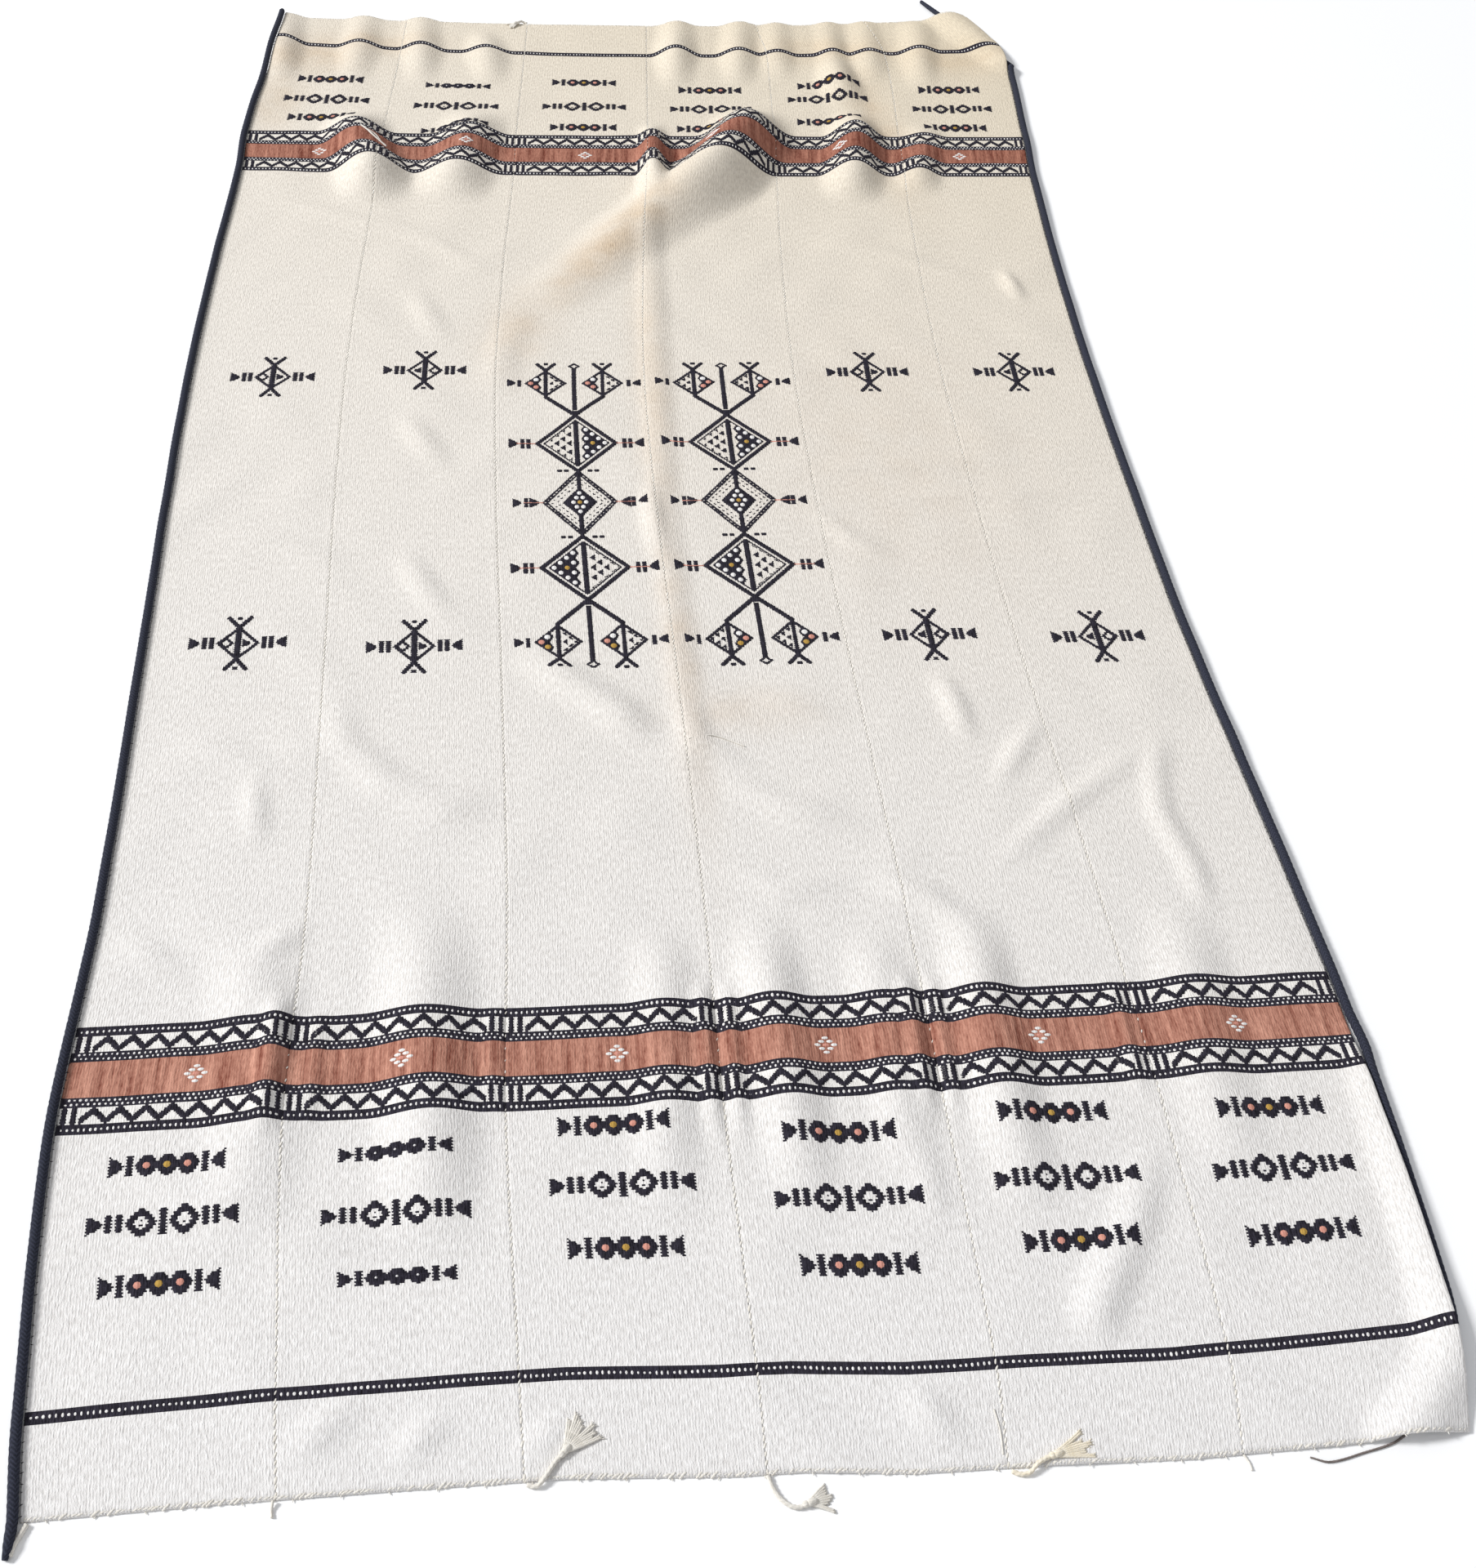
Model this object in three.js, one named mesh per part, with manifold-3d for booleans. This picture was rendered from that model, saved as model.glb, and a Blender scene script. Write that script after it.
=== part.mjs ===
// A strip-woven wool blanket, laid out on a floor with the folds it was left in.
//
// Six narrow hand-woven strips lie side by side, sewn selvedge to selvedge. A dark twisted cord is
// sewn down each long side, and small tassels hang where some of the seams end. The far right
// corner is turned under, with its cord showing past the far end, and near the other right-hand
// corner the cord has slipped under the cloth.
//
// Millimetres. X runs across the strips, Y along them from the near end to the far end, and Z is
// the height over the floor. Tables are in the layout's own X and Y, which are measured from the
// near end of the middle seam; the finished group is centred at the end.

import * as THREE from 'three';
import Module from 'manifold-3d';
import { mergeVertices } from 'three/addons/utils/BufferGeometryUtils.js';

const wasm = await Module();
wasm.setup();

// The cloth and its pieces
const STRIPS = 6;
const STRIP_WIDTH = 210;
const LENGTH = 2570;
const CLOTH = 2.5;
const GAP = 0.3;
const CORD_RADIUS = 5;
const TIE_RADIUS = 2.2;
// The cloth is thicker straight up where it slopes: how far off a slope is read, and the most it grows
const SLOPE_STEP = 4;
const STEEPEST = 1.4;

// How finely each piece is divided
const COLUMNS = 7;
const LAST_STRIP_COLUMNS = 10;
const CORD_SIDES = 6;
const TIE_SIDES = 5;
const ROW_SPANS = [
  { to: 450, step: 30 },
  { to: 600, step: 50 },
  { to: 1950, step: 135 },
  { to: LENGTH, step: 31 },
];

// Materials
const CREAM = { color: 0xd9d2c4, roughness: 0.95, metalness: 0 };
const DARK = { color: 0x2b2d3c, roughness: 0.9, metalness: 0 };
const YARN = { color: 0xe6e0d2, roughness: 0.95, metalness: 0 };

// Where the cloth lies, because it isn't quite straight or square: at each distance along the
// strips, the X and Y of the left edge, of the middle seam and of the right edge.
const LAYOUT = [
  { along: 0, left: [-610, -2], middle: [2, 2], right: [620, 1] },
  { along: 92, left: [-621, 84], middle: [1, 94], right: [637, 99] },
  { along: 364, left: [-640, 358], middle: [-8, 364], right: [642, 372] },
  { along: 620, left: [-634, 618], middle: [-10, 620], right: [632, 624] },
  { along: 1010, left: [-640, 1008], middle: [-20, 1010], right: [610, 1011] },
  { along: 1265, left: [-645, 1265], middle: [-28, 1265], right: [605, 1264] },
  { along: 1545, left: [-648, 1546], middle: [-30, 1545], right: [603, 1543] },
  { along: 1806, left: [-643, 1809], middle: [-19, 1805], right: [608, 1803] },
  { along: 2068, left: [-633, 2078], middle: [-1, 2064], right: [620, 2066] },
  { along: 2190, left: [-634, 2200], middle: [6, 2188], right: [630, 2190] },
  { along: 2470, left: [-612, 2492], middle: [17, 2457], right: [643, 2488] },
  { along: 2570, left: [-606, 2585], middle: [22, 2566], right: [606, 2606] },
];

// The near end isn't straight: how far it shifts along the strips, at each place from the left
// edge. The shift is whole up to SHIFTED_TO along the strips and gone at UNSHIFTED_FROM.
const NEAR_END = [
  { across: 0, shift: 1 },
  { across: 180, shift: 4 },
  { across: 380, shift: 5 },
  { across: 460, shift: 5 },
  { across: 600, shift: -2 },
  { across: 660, shift: -2 },
  { across: 760, shift: -9 },
  { across: 880, shift: -9 },
  { across: 1000, shift: -11 },
  { across: 1140, shift: -7 },
  { across: 1260, shift: -2 },
];
const SHIFTED_TO = 110;
const UNSHIFTED_FROM = 360;

// The folds. Each row is a place on a fold's crest: its X and Y, how high the crest stands there,
// and how far off its foot is on either side.
const FOLDS = [
  { fold: 'first hump of the far band', crest: [
    [-425, 1975, 0, 60], [-431, 2062, 37, 68], [-460, 2166, 34, 66], [-474, 2275, 0, 60] ] },
  { fold: 'second hump of the far band', crest: [
    [-312, 1975, 0, 60], [-301, 2060, 27, 70], [-282, 2174, 25, 68], [-272, 2285, 0, 60] ] },
  { fold: 'great ridge across strips three and four', crest: [
    [-190, 1690, 0, 60], [-120, 1780, 8, 70], [-24, 1910, 24, 78], [100, 2043, 54, 88],
    [160, 2158, 57, 84], [200, 2285, 0, 70] ] },
  { fold: 'third hump of the far band', crest: [
    [318, 1975, 0, 50], [328, 2055, 29, 60], [346, 2171, 33, 58], [352, 2275, 4, 45],
    [341, 2364, 20, 48], [341, 2450, 10, 36], [345, 2570, 6, 34] ] },
  { fold: 'fourth hump of the far band', crest: [
    [428, 2000, 0, 40], [437, 2074, 17, 45], [462, 2181, 9, 45], [468, 2240, 0, 40] ] },
  { fold: 'pinch beside the middle seam', crest: [
    [0, 1950, 0, 30], [8, 2063, 32, 30], [12, 2150, 22, 30], [16, 2240, 0, 30] ] },
  { fold: 'pucker along the middle seam', crest: [
    [-10, 700, 0, 30], [-11, 900, 3, 30], [-19, 1265, 4, 30], [-6, 1900, 5, 30], [0, 2000, 0, 30] ] },
  { fold: 'far end ripple 1', crest: [
    [-596, 2330, 0, 30], [-600, 2460, 16, 44], [-604, 2580, 8, 40] ] },
  { fold: 'far end ripple 2', crest: [
    [-478, 2340, 0, 30], [-473, 2461, 13, 46], [-470, 2580, 7, 40] ] },
  { fold: 'far end ripple 3', crest: [
    [-366, 2330, 0, 30], [-368, 2463, 14, 46], [-372, 2580, 8, 40] ] },
  { fold: 'far end ripple 4', crest: [
    [-246, 2330, 0, 30], [-256, 2456, 13, 48], [-272, 2560, 0, 30] ] },
  { fold: 'far end ripple 5', crest: [
    [58, 2320, 0, 30], [68, 2458, 18, 48], [76, 2570, 9, 40] ] },
  { fold: 'far end ripple 6', crest: [
    [166, 2330, 0, 30], [176, 2456, 14, 44], [186, 2570, 8, 40] ] },
  { fold: 'far end ripple 7', crest: [
    [244, 2350, 0, 30], [246, 2452, 9, 38], [252, 2570, 6, 36] ] },
  { fold: 'far end ripple 8', crest: [
    [404, 2350, 0, 30], [406, 2450, 10, 40], [412, 2570, 6, 36] ] },
  { fold: 'far end ripple 9', crest: [
    [484, 2320, 0, 30], [495, 2459, 13, 44], [505, 2560, 8, 44] ] },
  { fold: 'cloth over the turned corner', crest: [
    [664, 2395, 0, 30], [645, 2440, 13, 44], [600, 2530, 15, 52], [548, 2640, 15, 52] ] },
  { fold: 'near band, first strip', crest: [
    [-480, 640, 0, 60], [-466, 486, 9, 62], [-456, 371, 9, 60], [-450, 200, 0, 55] ] },
  { fold: 'near band, second strip', crest: [
    [-310, 640, 0, 60], [-299, 486, 14, 66], [-291, 371, 15, 64], [-286, 180, 0, 55] ] },
  { fold: 'near band, left of the middle seam', crest: [
    [-60, 600, 0, 40], [-60, 486, 8, 44], [-62, 371, 9, 44], [-70, 220, 0, 40] ] },
  { fold: 'near band, fourth strip', crest: [
    [48, 620, 0, 44], [50, 482, 12, 46], [58, 374, 12, 46], [64, 200, 0, 40] ] },
  { fold: 'near band, right of the fourth strip', crest: [
    [160, 590, 0, 40], [162, 482, 7, 42], [166, 374, 8, 40], [170, 230, 0, 40] ] },
  { fold: 'near band, fifth strip', crest: [
    [272, 620, 0, 44], [268, 484, 13, 48], [270, 370, 13, 48], [276, 200, 0, 40] ] },
  { fold: 'near band, sixth strip', crest: [
    [500, 620, 0, 50], [492, 486, 9, 56], [482, 372, 9, 56], [478, 220, 0, 44] ] },
  { fold: 'cloth over the slipped cord', crest: [
    [646, 420, 0, 30], [643, 345, 8, 30], [642, 240, 12, 36], [640, 150, 13, 38], [634, 90, 14, 40],
    [620, 55, 14, 42], [600, 32, 14, 42], [580, 12, 13, 42], [560, -4, 12, 40] ] },
];

// The left cord's end past the near edge, from its tip: how far past, how far to the right, its radius
const LEFT_CORD_END = [
  { past: 30, right: -1, radius: 3.4 },
  { past: 18, right: 0, radius: 4.6 },
];

// The right cord leaves the cloth's edge near both ends. Each row is a place on its middle line
// and its radius: at the far end from its tip, at the near end to its thin frayed tip.
const FAR_CORD_END = [
  { x: 530, y: 2668, radius: 3.2 },
  { x: 543, y: 2640, radius: 4 },
  { x: 566, y: 2596, radius: 4.2 },
  { x: 600, y: 2530, radius: 4.2 },
  { x: 634, y: 2464, radius: 4.4 },
  { x: 653, y: 2425, radius: 5 },
];
const NEAR_CORD_END = [
  { x: 650, y: 395, radius: 5 },
  { x: 649, y: 368, radius: 4.8 },
  { x: 648.5, y: 330, radius: 4.8 },
  { x: 648.3, y: 300, radius: 4.8 },
  { x: 647, y: 236, radius: 4.6 },
  { x: 645, y: 168, radius: 4.5 },
  { x: 641.5, y: 110, radius: 4.4 },
  { x: 634, y: 80, radius: 4.3 },
  { x: 622, y: 58, radius: 4.2 },
  { x: 606, y: 38, radius: 4 },
  { x: 588, y: 20, radius: 3.4 },
  { x: 570, y: 6, radius: 2.2 },
  { x: 552, y: -5, radius: 1.5 },
  { x: 520, y: -13, radius: 1.5 },
  { x: 488, y: -19, radius: 1.4 },
  { x: 472, y: -14, radius: 1.2 },
];
const RIGHT_CORD_FROM = 430;
const RIGHT_CORD_TO = 2400;

// The corner turned under: where its crease starts, and its free edge beside the cord
const CREASE_FROM = 2490;
const CREASE_STEPS = 4;
const FREE_EDGE = { from: [629, 2492], to: [552, 2632] };

// The tassels. Each has the seam it is on, the number of its locks, the way they point, in degrees
// from X, their spread and length, what they lie on, and the route of its tie from the seam's end,
// in X and Y from there and in Z.
const ON_CLOTH = CLOTH + GAP;
const TASSELS = [
  { name: 'tassel_near_2', seam: 2, end: 'near', locks: 8, turn: 48, spread: 60, length: 31,
    floor: ON_CLOTH,
    tie: [[2, -2.7, 2.3], [7, -4.5, 2.5], [12, -4, 3.8], [18, 3, 5.4], [26, 14, 5.4], [32, 20, 5.4]] },
  { name: 'tassel_near_3', seam: 3, end: 'near', locks: 7, turn: 16, spread: 62, length: 18,
    floor: 0,
    tie: [[0, -1, 2.3], [2.5, -10, 2.3], [8, -20, 2.3], [16, -27, 2.3], [24, -29, 2.3], [30, -27, 2.3]] },
  { name: 'tassel_near_4', seam: 4, end: 'near', locks: 6, turn: 14, spread: 34, length: 32,
    floor: ON_CLOTH,
    tie: [[2, -3, 2.3], [9, -6, 2.4], [17, -5.5, 3.6], [25, 1, 5.9], [33, 5, 5.6], [39, 7, 5.6]] },
  { name: 'tassel_far_2', seam: 2, end: 'far', locks: 5, turn: 215, spread: 60, length: 14,
    floor: ON_CLOTH,
    tie: [[-1, 2.7, 2.3], [-6, 5, 2.8], [-11, 4.6, 5], [-17, -3, 6]] },
];
const TIE_STEPS = 8;
// The knotted head: places along it from the tie's end, and their share of its radius
const HEAD_RADIUS = 3.4;
const HEAD = [
  { reach: -2.5, share: 0.7 },
  { reach: 0, share: 1 },
  { reach: 5, share: 1 },
  { reach: 9, share: 0.8 },
];
// The locks: their radius, how much higher they start, and how far apart their roots lie
const LOCK = { root: 1.8, tip: 1.3, rise: 0.8, apart: 4.2, sides: 4, uneven: 0.11 };

// A smooth line through the values that the layout gives, at a distance along the strips.
function laidAt(along, value) {
  const last = LAYOUT.length - 1;
  const found = LAYOUT.findIndex((row) => row.along >= along);
  const to = found < 0 ? last : Math.max(1, found);
  const rows = [LAYOUT[Math.max(0, to - 2)], LAYOUT[to - 1], LAYOUT[to], LAYOUT[Math.min(last, to + 1)]];
  const span = rows[2].along - rows[1].along;
  const t = (along - rows[1].along) / span;
  const slope = (a, b) => ((value(b) - value(a)) / (b.along - a.along)) * span;
  const leaving = slope(rows[0], rows[2]);
  const arriving = slope(rows[1], rows[3]);
  return (
    value(rows[1]) * (2 * t ** 3 - 3 * t ** 2 + 1) +
    leaving * (t ** 3 - 2 * t ** 2 + t) +
    value(rows[2]) * (3 * t ** 2 - 2 * t ** 3) +
    arriving * (t ** 3 - t ** 2)
  );
}

// How far the near end shifts the cloth along the strips at a place of the flat cloth.
function nearShift(across, along) {
  const share = (UNSHIFTED_FROM - along) / (UNSHIFTED_FROM - SHIFTED_TO);
  const to = Math.max(1, NEAR_END.findIndex((row) => row.across >= across));
  const [before, after] = [NEAR_END[to - 1], NEAR_END[to]];
  const t = (across - before.across) / (after.across - before.across);
  const whole = before.shift + t * (after.shift - before.shift);
  return whole * Math.min(1, Math.max(0, share));
}

// The place on the floor of a point of the flat cloth. Across is from the left edge.
function plan(across, along) {
  const half = across / (STRIPS * STRIP_WIDTH / 2) - 1;
  const side = half < 0 ? 'left' : 'right';
  const share = Math.abs(half);
  const middle = [0, 1].map((axis) => laidAt(along, (row) => row.middle[axis]));
  const edge = [0, 1].map((axis) => laidAt(along, (row) => row[side][axis]));
  return [
    middle[0] + share * (edge[0] - middle[0]),
    middle[1] + share ** 2 * (edge[1] - middle[1]) + nearShift(across, along),
  ];
}

// How high one fold lifts the cloth at a place on the floor: a soft hump about its crest line.
function lift(crest, x, y) {
  let highest = 0;
  for (let i = 1; i < crest.length; i++) {
    const [ax, ay, ahigh, afoot] = crest[i - 1];
    const [bx, by, bhigh, bfoot] = crest[i];
    const [dx, dy] = [bx - ax, by - ay];
    const t = THREE.MathUtils.clamp(((x - ax) * dx + (y - ay) * dy) / (dx * dx + dy * dy), 0, 1);
    const away = Math.hypot(x - ax - t * dx, y - ay - t * dy);
    const share = away / THREE.MathUtils.lerp(afoot, bfoot, t);
    if (share >= 1) continue;
    const high = THREE.MathUtils.lerp(ahigh, bhigh, THREE.MathUtils.smoothstep(t, 0, 1));
    highest = Math.max(highest, high * (1 + Math.cos(Math.PI * share)) / 2);
  }
  return highest;
}

// The height of the cloth's underside over the floor.
function height(x, y) {
  return FOLDS.reduce((sum, row) => sum + lift(row.crest, x, y), 0);
}

// The cloth's own thickness, measured straight up where it slopes.
function depth(x, y) {
  const across = height(x + SLOPE_STEP, y) - height(x - SLOPE_STEP, y);
  const along = height(x, y + SLOPE_STEP) - height(x, y - SLOPE_STEP);
  const slope = Math.hypot(across, along) / (2 * SLOPE_STEP);
  return CLOTH * Math.min(STEEPEST, Math.hypot(1, slope));
}

// A mesh with its name and material.
function piece(name, geometry, finish) {
  const mesh = new THREE.Mesh(geometry, new THREE.MeshStandardMaterial(finish));
  mesh.name = name;
  geometry.computeVertexNormals();
  return mesh;
}

// A closed sheet from two grids of points, [row][column], one under the other.
function closedSheet(under, over) {
  const rows = under.length;
  const columns = under[0].length;
  const points = [...under.flat(), ...over.flat()];
  const at = (layer, row, column) => (layer * rows + row) * columns + column;
  const faces = [];
  const quad = (a, b, c, d) => faces.push(a, b, c, a, c, d);
  for (let r = 1; r < rows; r++) {
    for (let c = 1; c < columns; c++) {
      quad(at(0, r - 1, c - 1), at(0, r, c - 1), at(0, r, c), at(0, r - 1, c));
      quad(at(1, r - 1, c - 1), at(1, r - 1, c), at(1, r, c), at(1, r, c - 1));
    }
    quad(at(0, r - 1, 0), at(1, r - 1, 0), at(1, r, 0), at(0, r, 0));
    const last = columns - 1;
    quad(at(0, r, last), at(1, r, last), at(1, r - 1, last), at(0, r - 1, last));
  }
  for (let c = 1; c < columns; c++) {
    quad(at(0, 0, c - 1), at(0, 0, c), at(1, 0, c), at(1, 0, c - 1));
    quad(at(0, rows - 1, c), at(0, rows - 1, c - 1), at(1, rows - 1, c - 1), at(1, rows - 1, c));
  }
  const geometry = new THREE.BufferGeometry();
  geometry.setAttribute('position', new THREE.Float32BufferAttribute(points.flat(), 3));
  geometry.setIndex(faces);
  return geometry;
}

// A round bar along a line of points {at, radius}, with a flat side down and closed ends.
function bar(stations, sides) {
  const across = new THREE.Vector3();
  const up = new THREE.Vector3(0, 0, 1);
  const points = [];
  stations.forEach(({ at, radius }, i) => {
    const before = stations[Math.max(0, i - 1)].at;
    const after = stations[Math.min(stations.length - 1, i + 1)].at;
    across.subVectors(after, before).setZ(0).normalize().cross(up);
    for (let k = 0; k < sides; k++) {
      const angle = (2 * Math.PI * (k + 0.5)) / sides - Math.PI / 2;
      const corner = radius / Math.cos(Math.PI / sides);
      points.push(
        at.x + across.x * corner * Math.cos(angle),
        at.y + across.y * corner * Math.cos(angle),
        at.z + corner * Math.sin(angle),
      );
    }
  });
  const faces = [];
  for (let i = 1; i < stations.length; i++) {
    for (let k = 0; k < sides; k++) {
      const next = (k + 1) % sides;
      const [a, b, c, d] = [(i - 1) * sides + k, (i - 1) * sides + next, i * sides + next, i * sides + k];
      faces.push(a, c, b, a, d, c);
    }
  }
  const end = (stations.length - 1) * sides;
  for (let k = 1; k < sides - 1; k++) {
    faces.push(0, k, k + 1, end, end + k + 1, end + k);
  }
  const geometry = new THREE.BufferGeometry();
  geometry.setAttribute('position', new THREE.Float32BufferAttribute(points, 3));
  geometry.setIndex(faces);
  return geometry;
}

// One body from several geometries that reach into each other.
function joined(geometries) {
  const solids = geometries.map((geometry) => {
    const bare = geometry.clone();
    bare.deleteAttribute('normal');
    bare.deleteAttribute('uv');
    const merged = mergeVertices(bare);
    return new wasm.Manifold(new wasm.Mesh({
      numProp: 3,
      vertProperties: Float32Array.from(merged.attributes.position.array),
      triVerts: Uint32Array.from(merged.index.array),
    }));
  });
  const mesh = solids.reduce((all, solid) => all.add(solid)).getMesh();
  const geometry = new THREE.BufferGeometry();
  geometry.setAttribute('position', new THREE.BufferAttribute(Float32Array.from(mesh.vertProperties), 3));
  geometry.setIndex(new THREE.BufferAttribute(Uint32Array.from(mesh.triVerts), 1));
  return geometry;
}

// The distances along the strips at which each piece has a row of points
function rowPlaces() {
  const places = [0];
  for (const { to, step } of ROW_SPANS) {
    const from = places.at(-1);
    const count = Math.round((to - from) / step);
    for (let i = 1; i <= count; i++) places.push(from + ((to - from) * i) / count);
  }
  return places;
}
const ROWS = rowPlaces();

// The woven strips: thin sheets with their folds, 0.3 mm apart at the seams
function strip(index) {
  const columns = index === STRIPS - 1 ? LAST_STRIP_COLUMNS : COLUMNS;
  const from = index * STRIP_WIDTH + (index > 0 ? GAP / 2 : 0);
  const to = (index + 1) * STRIP_WIDTH - (index < STRIPS - 1 ? GAP / 2 : 0);
  const under = [];
  const over = [];
  const acrossPlaces = Array.from({ length: columns + 1 }, (_, c) => from + ((to - from) * c) / columns);
  for (const along of ROWS) {
    const places = acrossPlaces.map((across) => plan(across, along));
    under.push(places.map(([x, y]) => [x, y, height(x, y)]));
    over.push(places.map(([x, y]) => [x, y, height(x, y) + depth(x, y)]));
  }
  return closedSheet(under, over);
}

// The far right corner, turned under the sixth strip: its round crease and a flap on the floor
function turnedCorner() {
  const under = [];
  const over = [];
  const crease = [];
  for (let i = 0; i <= CREASE_STEPS; i++) {
    const share = i / CREASE_STEPS;
    const [edgeX, edgeY] = plan(STRIPS * STRIP_WIDTH, THREE.MathUtils.lerp(CREASE_FROM, LENGTH, share));
    const radius = (height(edgeX, edgeY) + CLOTH) / 2;
    const fold = [edgeX - radius, edgeY];
    const free = [0, 1].map((axis) => THREE.MathUtils.lerp(FREE_EDGE.from[axis], FREE_EDGE.to[axis], share));
    under.push([[...free, 0], [...fold, 0]]);
    over.push([[...free, CLOTH], [...fold, CLOTH]]);
    crease.push({ at: new THREE.Vector3(...fold, radius), radius });
  }
  return [closedSheet(under, over), bar(crease, CORD_SIDES)];
}

// The edge cords, on the floor against the cloth's sides and lifted with them
function edgeStations(side, from, to) {
  const sign = side === 'left' ? -1 : 1;
  const across = side === 'left' ? 0 : STRIPS * STRIP_WIDTH;
  return ROWS.filter((along) => along >= from && along <= to).map((along) => {
    const [x, y] = plan(across, along);
    const offset = CORD_RADIUS + GAP;
    return { at: new THREE.Vector3(x + sign * offset, y, height(x, y) + CORD_RADIUS), radius: CORD_RADIUS };
  });
}

function floorStations(rows) {
  return rows.map(({ x, y, radius }) => ({ at: new THREE.Vector3(x, y, radius), radius }));
}

function leftCord() {
  const beside = edgeStations('left', 0, LENGTH);
  const start = beside[0].at;
  const tail = LEFT_CORD_END.map(({ past, right, radius }) => (
    { at: new THREE.Vector3(start.x + right, start.y - past, radius), radius }
  ));
  return bar([...tail, ...beside], CORD_SIDES);
}

function rightCord() {
  const near = floorStations(NEAR_CORD_END).reverse();
  const far = floorStations(FAR_CORD_END).reverse();
  const beside = edgeStations('right', RIGHT_CORD_FROM, RIGHT_CORD_TO);
  return bar([...near, ...beside, ...far], CORD_SIDES);
}

// A tassel: its tie from the seam's end, a knotted head and a fan of locks
function tassel({ seam, end, locks, turn, spread, length, floor, tie }) {
  const [rootX, rootY] = plan(seam * STRIP_WIDTH, end === 'near' ? 0 : LENGTH);
  const corners = tie.map(([x, y, z]) => new THREE.Vector3(rootX + x, rootY + y, z));
  const route = new THREE.CatmullRomCurve3(corners);
  const stations = route.getPoints(TIE_STEPS).map((at) => ({ at, radius: TIE_RADIUS }));
  const heading = THREE.MathUtils.degToRad(turn);
  const along = new THREE.Vector3(Math.cos(heading), Math.sin(heading), 0);
  const beside = new THREE.Vector3(-along.y, along.x, 0);
  const head = HEAD.map(({ reach, share }) => {
    const radius = HEAD_RADIUS * share;
    const at = stations[TIE_STEPS].at.clone().addScaledVector(along, reach);
    return { at: at.setZ(floor + radius), radius };
  });
  const fan = Array.from({ length: locks }, (_, i) => {
    const share = i / (locks - 1) - 0.5;
    const angle = heading + THREE.MathUtils.degToRad(spread * share);
    const reach = length * (1 - LOCK.uneven * ((i * 5) % 3));
    const out = new THREE.Vector3(Math.cos(angle), Math.sin(angle), 0);
    const root = head[2].at.clone().addScaledVector(beside, share * LOCK.apart);
    return bar([0, 0.5, 1].map((part) => {
      const radius = THREE.MathUtils.lerp(LOCK.root, LOCK.tip, part);
      const at = root.clone().addScaledVector(out, reach * part);
      return { at: at.setZ(floor + radius + (1 - part) * LOCK.rise), radius };
    }), LOCK.sides);
  });
  return joined([bar(stations, TIE_SIDES), bar(head, CORD_SIDES), ...fan]);
}

// The whole blanket
const blanket = new THREE.Group();
const cloth = new THREE.Group();
for (let i = 0; i < STRIPS; i++) {
  const last = i === STRIPS - 1;
  const geometry = last ? joined([strip(i), ...turnedCorner()]) : strip(i);
  cloth.add(piece(`strip_${i + 1}`, geometry, CREAM));
}
cloth.add(piece('edge_cord_left', leftCord(), DARK));
cloth.add(piece('edge_cord_right', rightCord(), DARK));
for (const row of TASSELS) cloth.add(piece(row.name, tassel(row), YARN));

// The origin is the middle of the blanket's outline, on the floor
const box = new THREE.Box3().setFromObject(cloth, true);
cloth.position.set(-(box.min.x + box.max.x) / 2, -(box.min.y + box.max.y) / 2, 0);
blanket.add(cloth);

export default blanket;
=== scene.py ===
import math

import bpy
import numpy as np
from mathutils import Matrix, Vector


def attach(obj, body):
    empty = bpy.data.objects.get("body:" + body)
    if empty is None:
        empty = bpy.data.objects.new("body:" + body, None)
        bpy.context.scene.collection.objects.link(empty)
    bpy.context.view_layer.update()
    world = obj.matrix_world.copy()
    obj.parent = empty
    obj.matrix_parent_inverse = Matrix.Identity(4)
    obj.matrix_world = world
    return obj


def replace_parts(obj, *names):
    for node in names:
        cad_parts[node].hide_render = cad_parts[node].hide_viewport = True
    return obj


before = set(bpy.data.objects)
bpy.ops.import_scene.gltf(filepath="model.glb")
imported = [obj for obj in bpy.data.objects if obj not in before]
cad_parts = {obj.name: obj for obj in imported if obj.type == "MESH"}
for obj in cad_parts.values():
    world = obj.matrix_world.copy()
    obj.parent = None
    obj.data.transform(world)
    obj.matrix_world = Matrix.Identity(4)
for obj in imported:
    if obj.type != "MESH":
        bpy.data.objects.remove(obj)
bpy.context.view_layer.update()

# Camera
# Held at head height in front of the near end and tipped down onto the blanket, with a little roll.
# Its place, angles and lens are worked out from the seams and the bands in the photograph.
CAMERA_AT = (-0.1466, -1.8876, 1.5368)
CAMERA_DOWN = math.radians(48.489)
CAMERA_YAW = math.radians(-7.895)
CAMERA_ROLL = math.radians(4.347)
CAMERA_LENS = 41.79

to_the_right = Vector((math.cos(CAMERA_YAW), math.sin(CAMERA_YAW), 0))
ahead = Vector((-math.sin(CAMERA_YAW), math.cos(CAMERA_YAW), 0))
forward = ahead * math.cos(CAMERA_DOWN) - Vector((0, 0, math.sin(CAMERA_DOWN)))
above = ahead * math.sin(CAMERA_DOWN) + Vector((0, 0, math.cos(CAMERA_DOWN)))
camera_x = to_the_right * math.cos(CAMERA_ROLL) + above * math.sin(CAMERA_ROLL)
camera_y = above * math.cos(CAMERA_ROLL) - to_the_right * math.sin(CAMERA_ROLL)
camera = bpy.data.objects.new("camera", bpy.data.cameras.new("camera"))
camera.data.lens = CAMERA_LENS
camera.matrix_world = Matrix((camera_x, camera_y, -forward)).transposed().to_4x4()
camera.location = CAMERA_AT
bpy.context.collection.objects.link(camera)
bpy.context.scene.camera = camera


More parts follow.
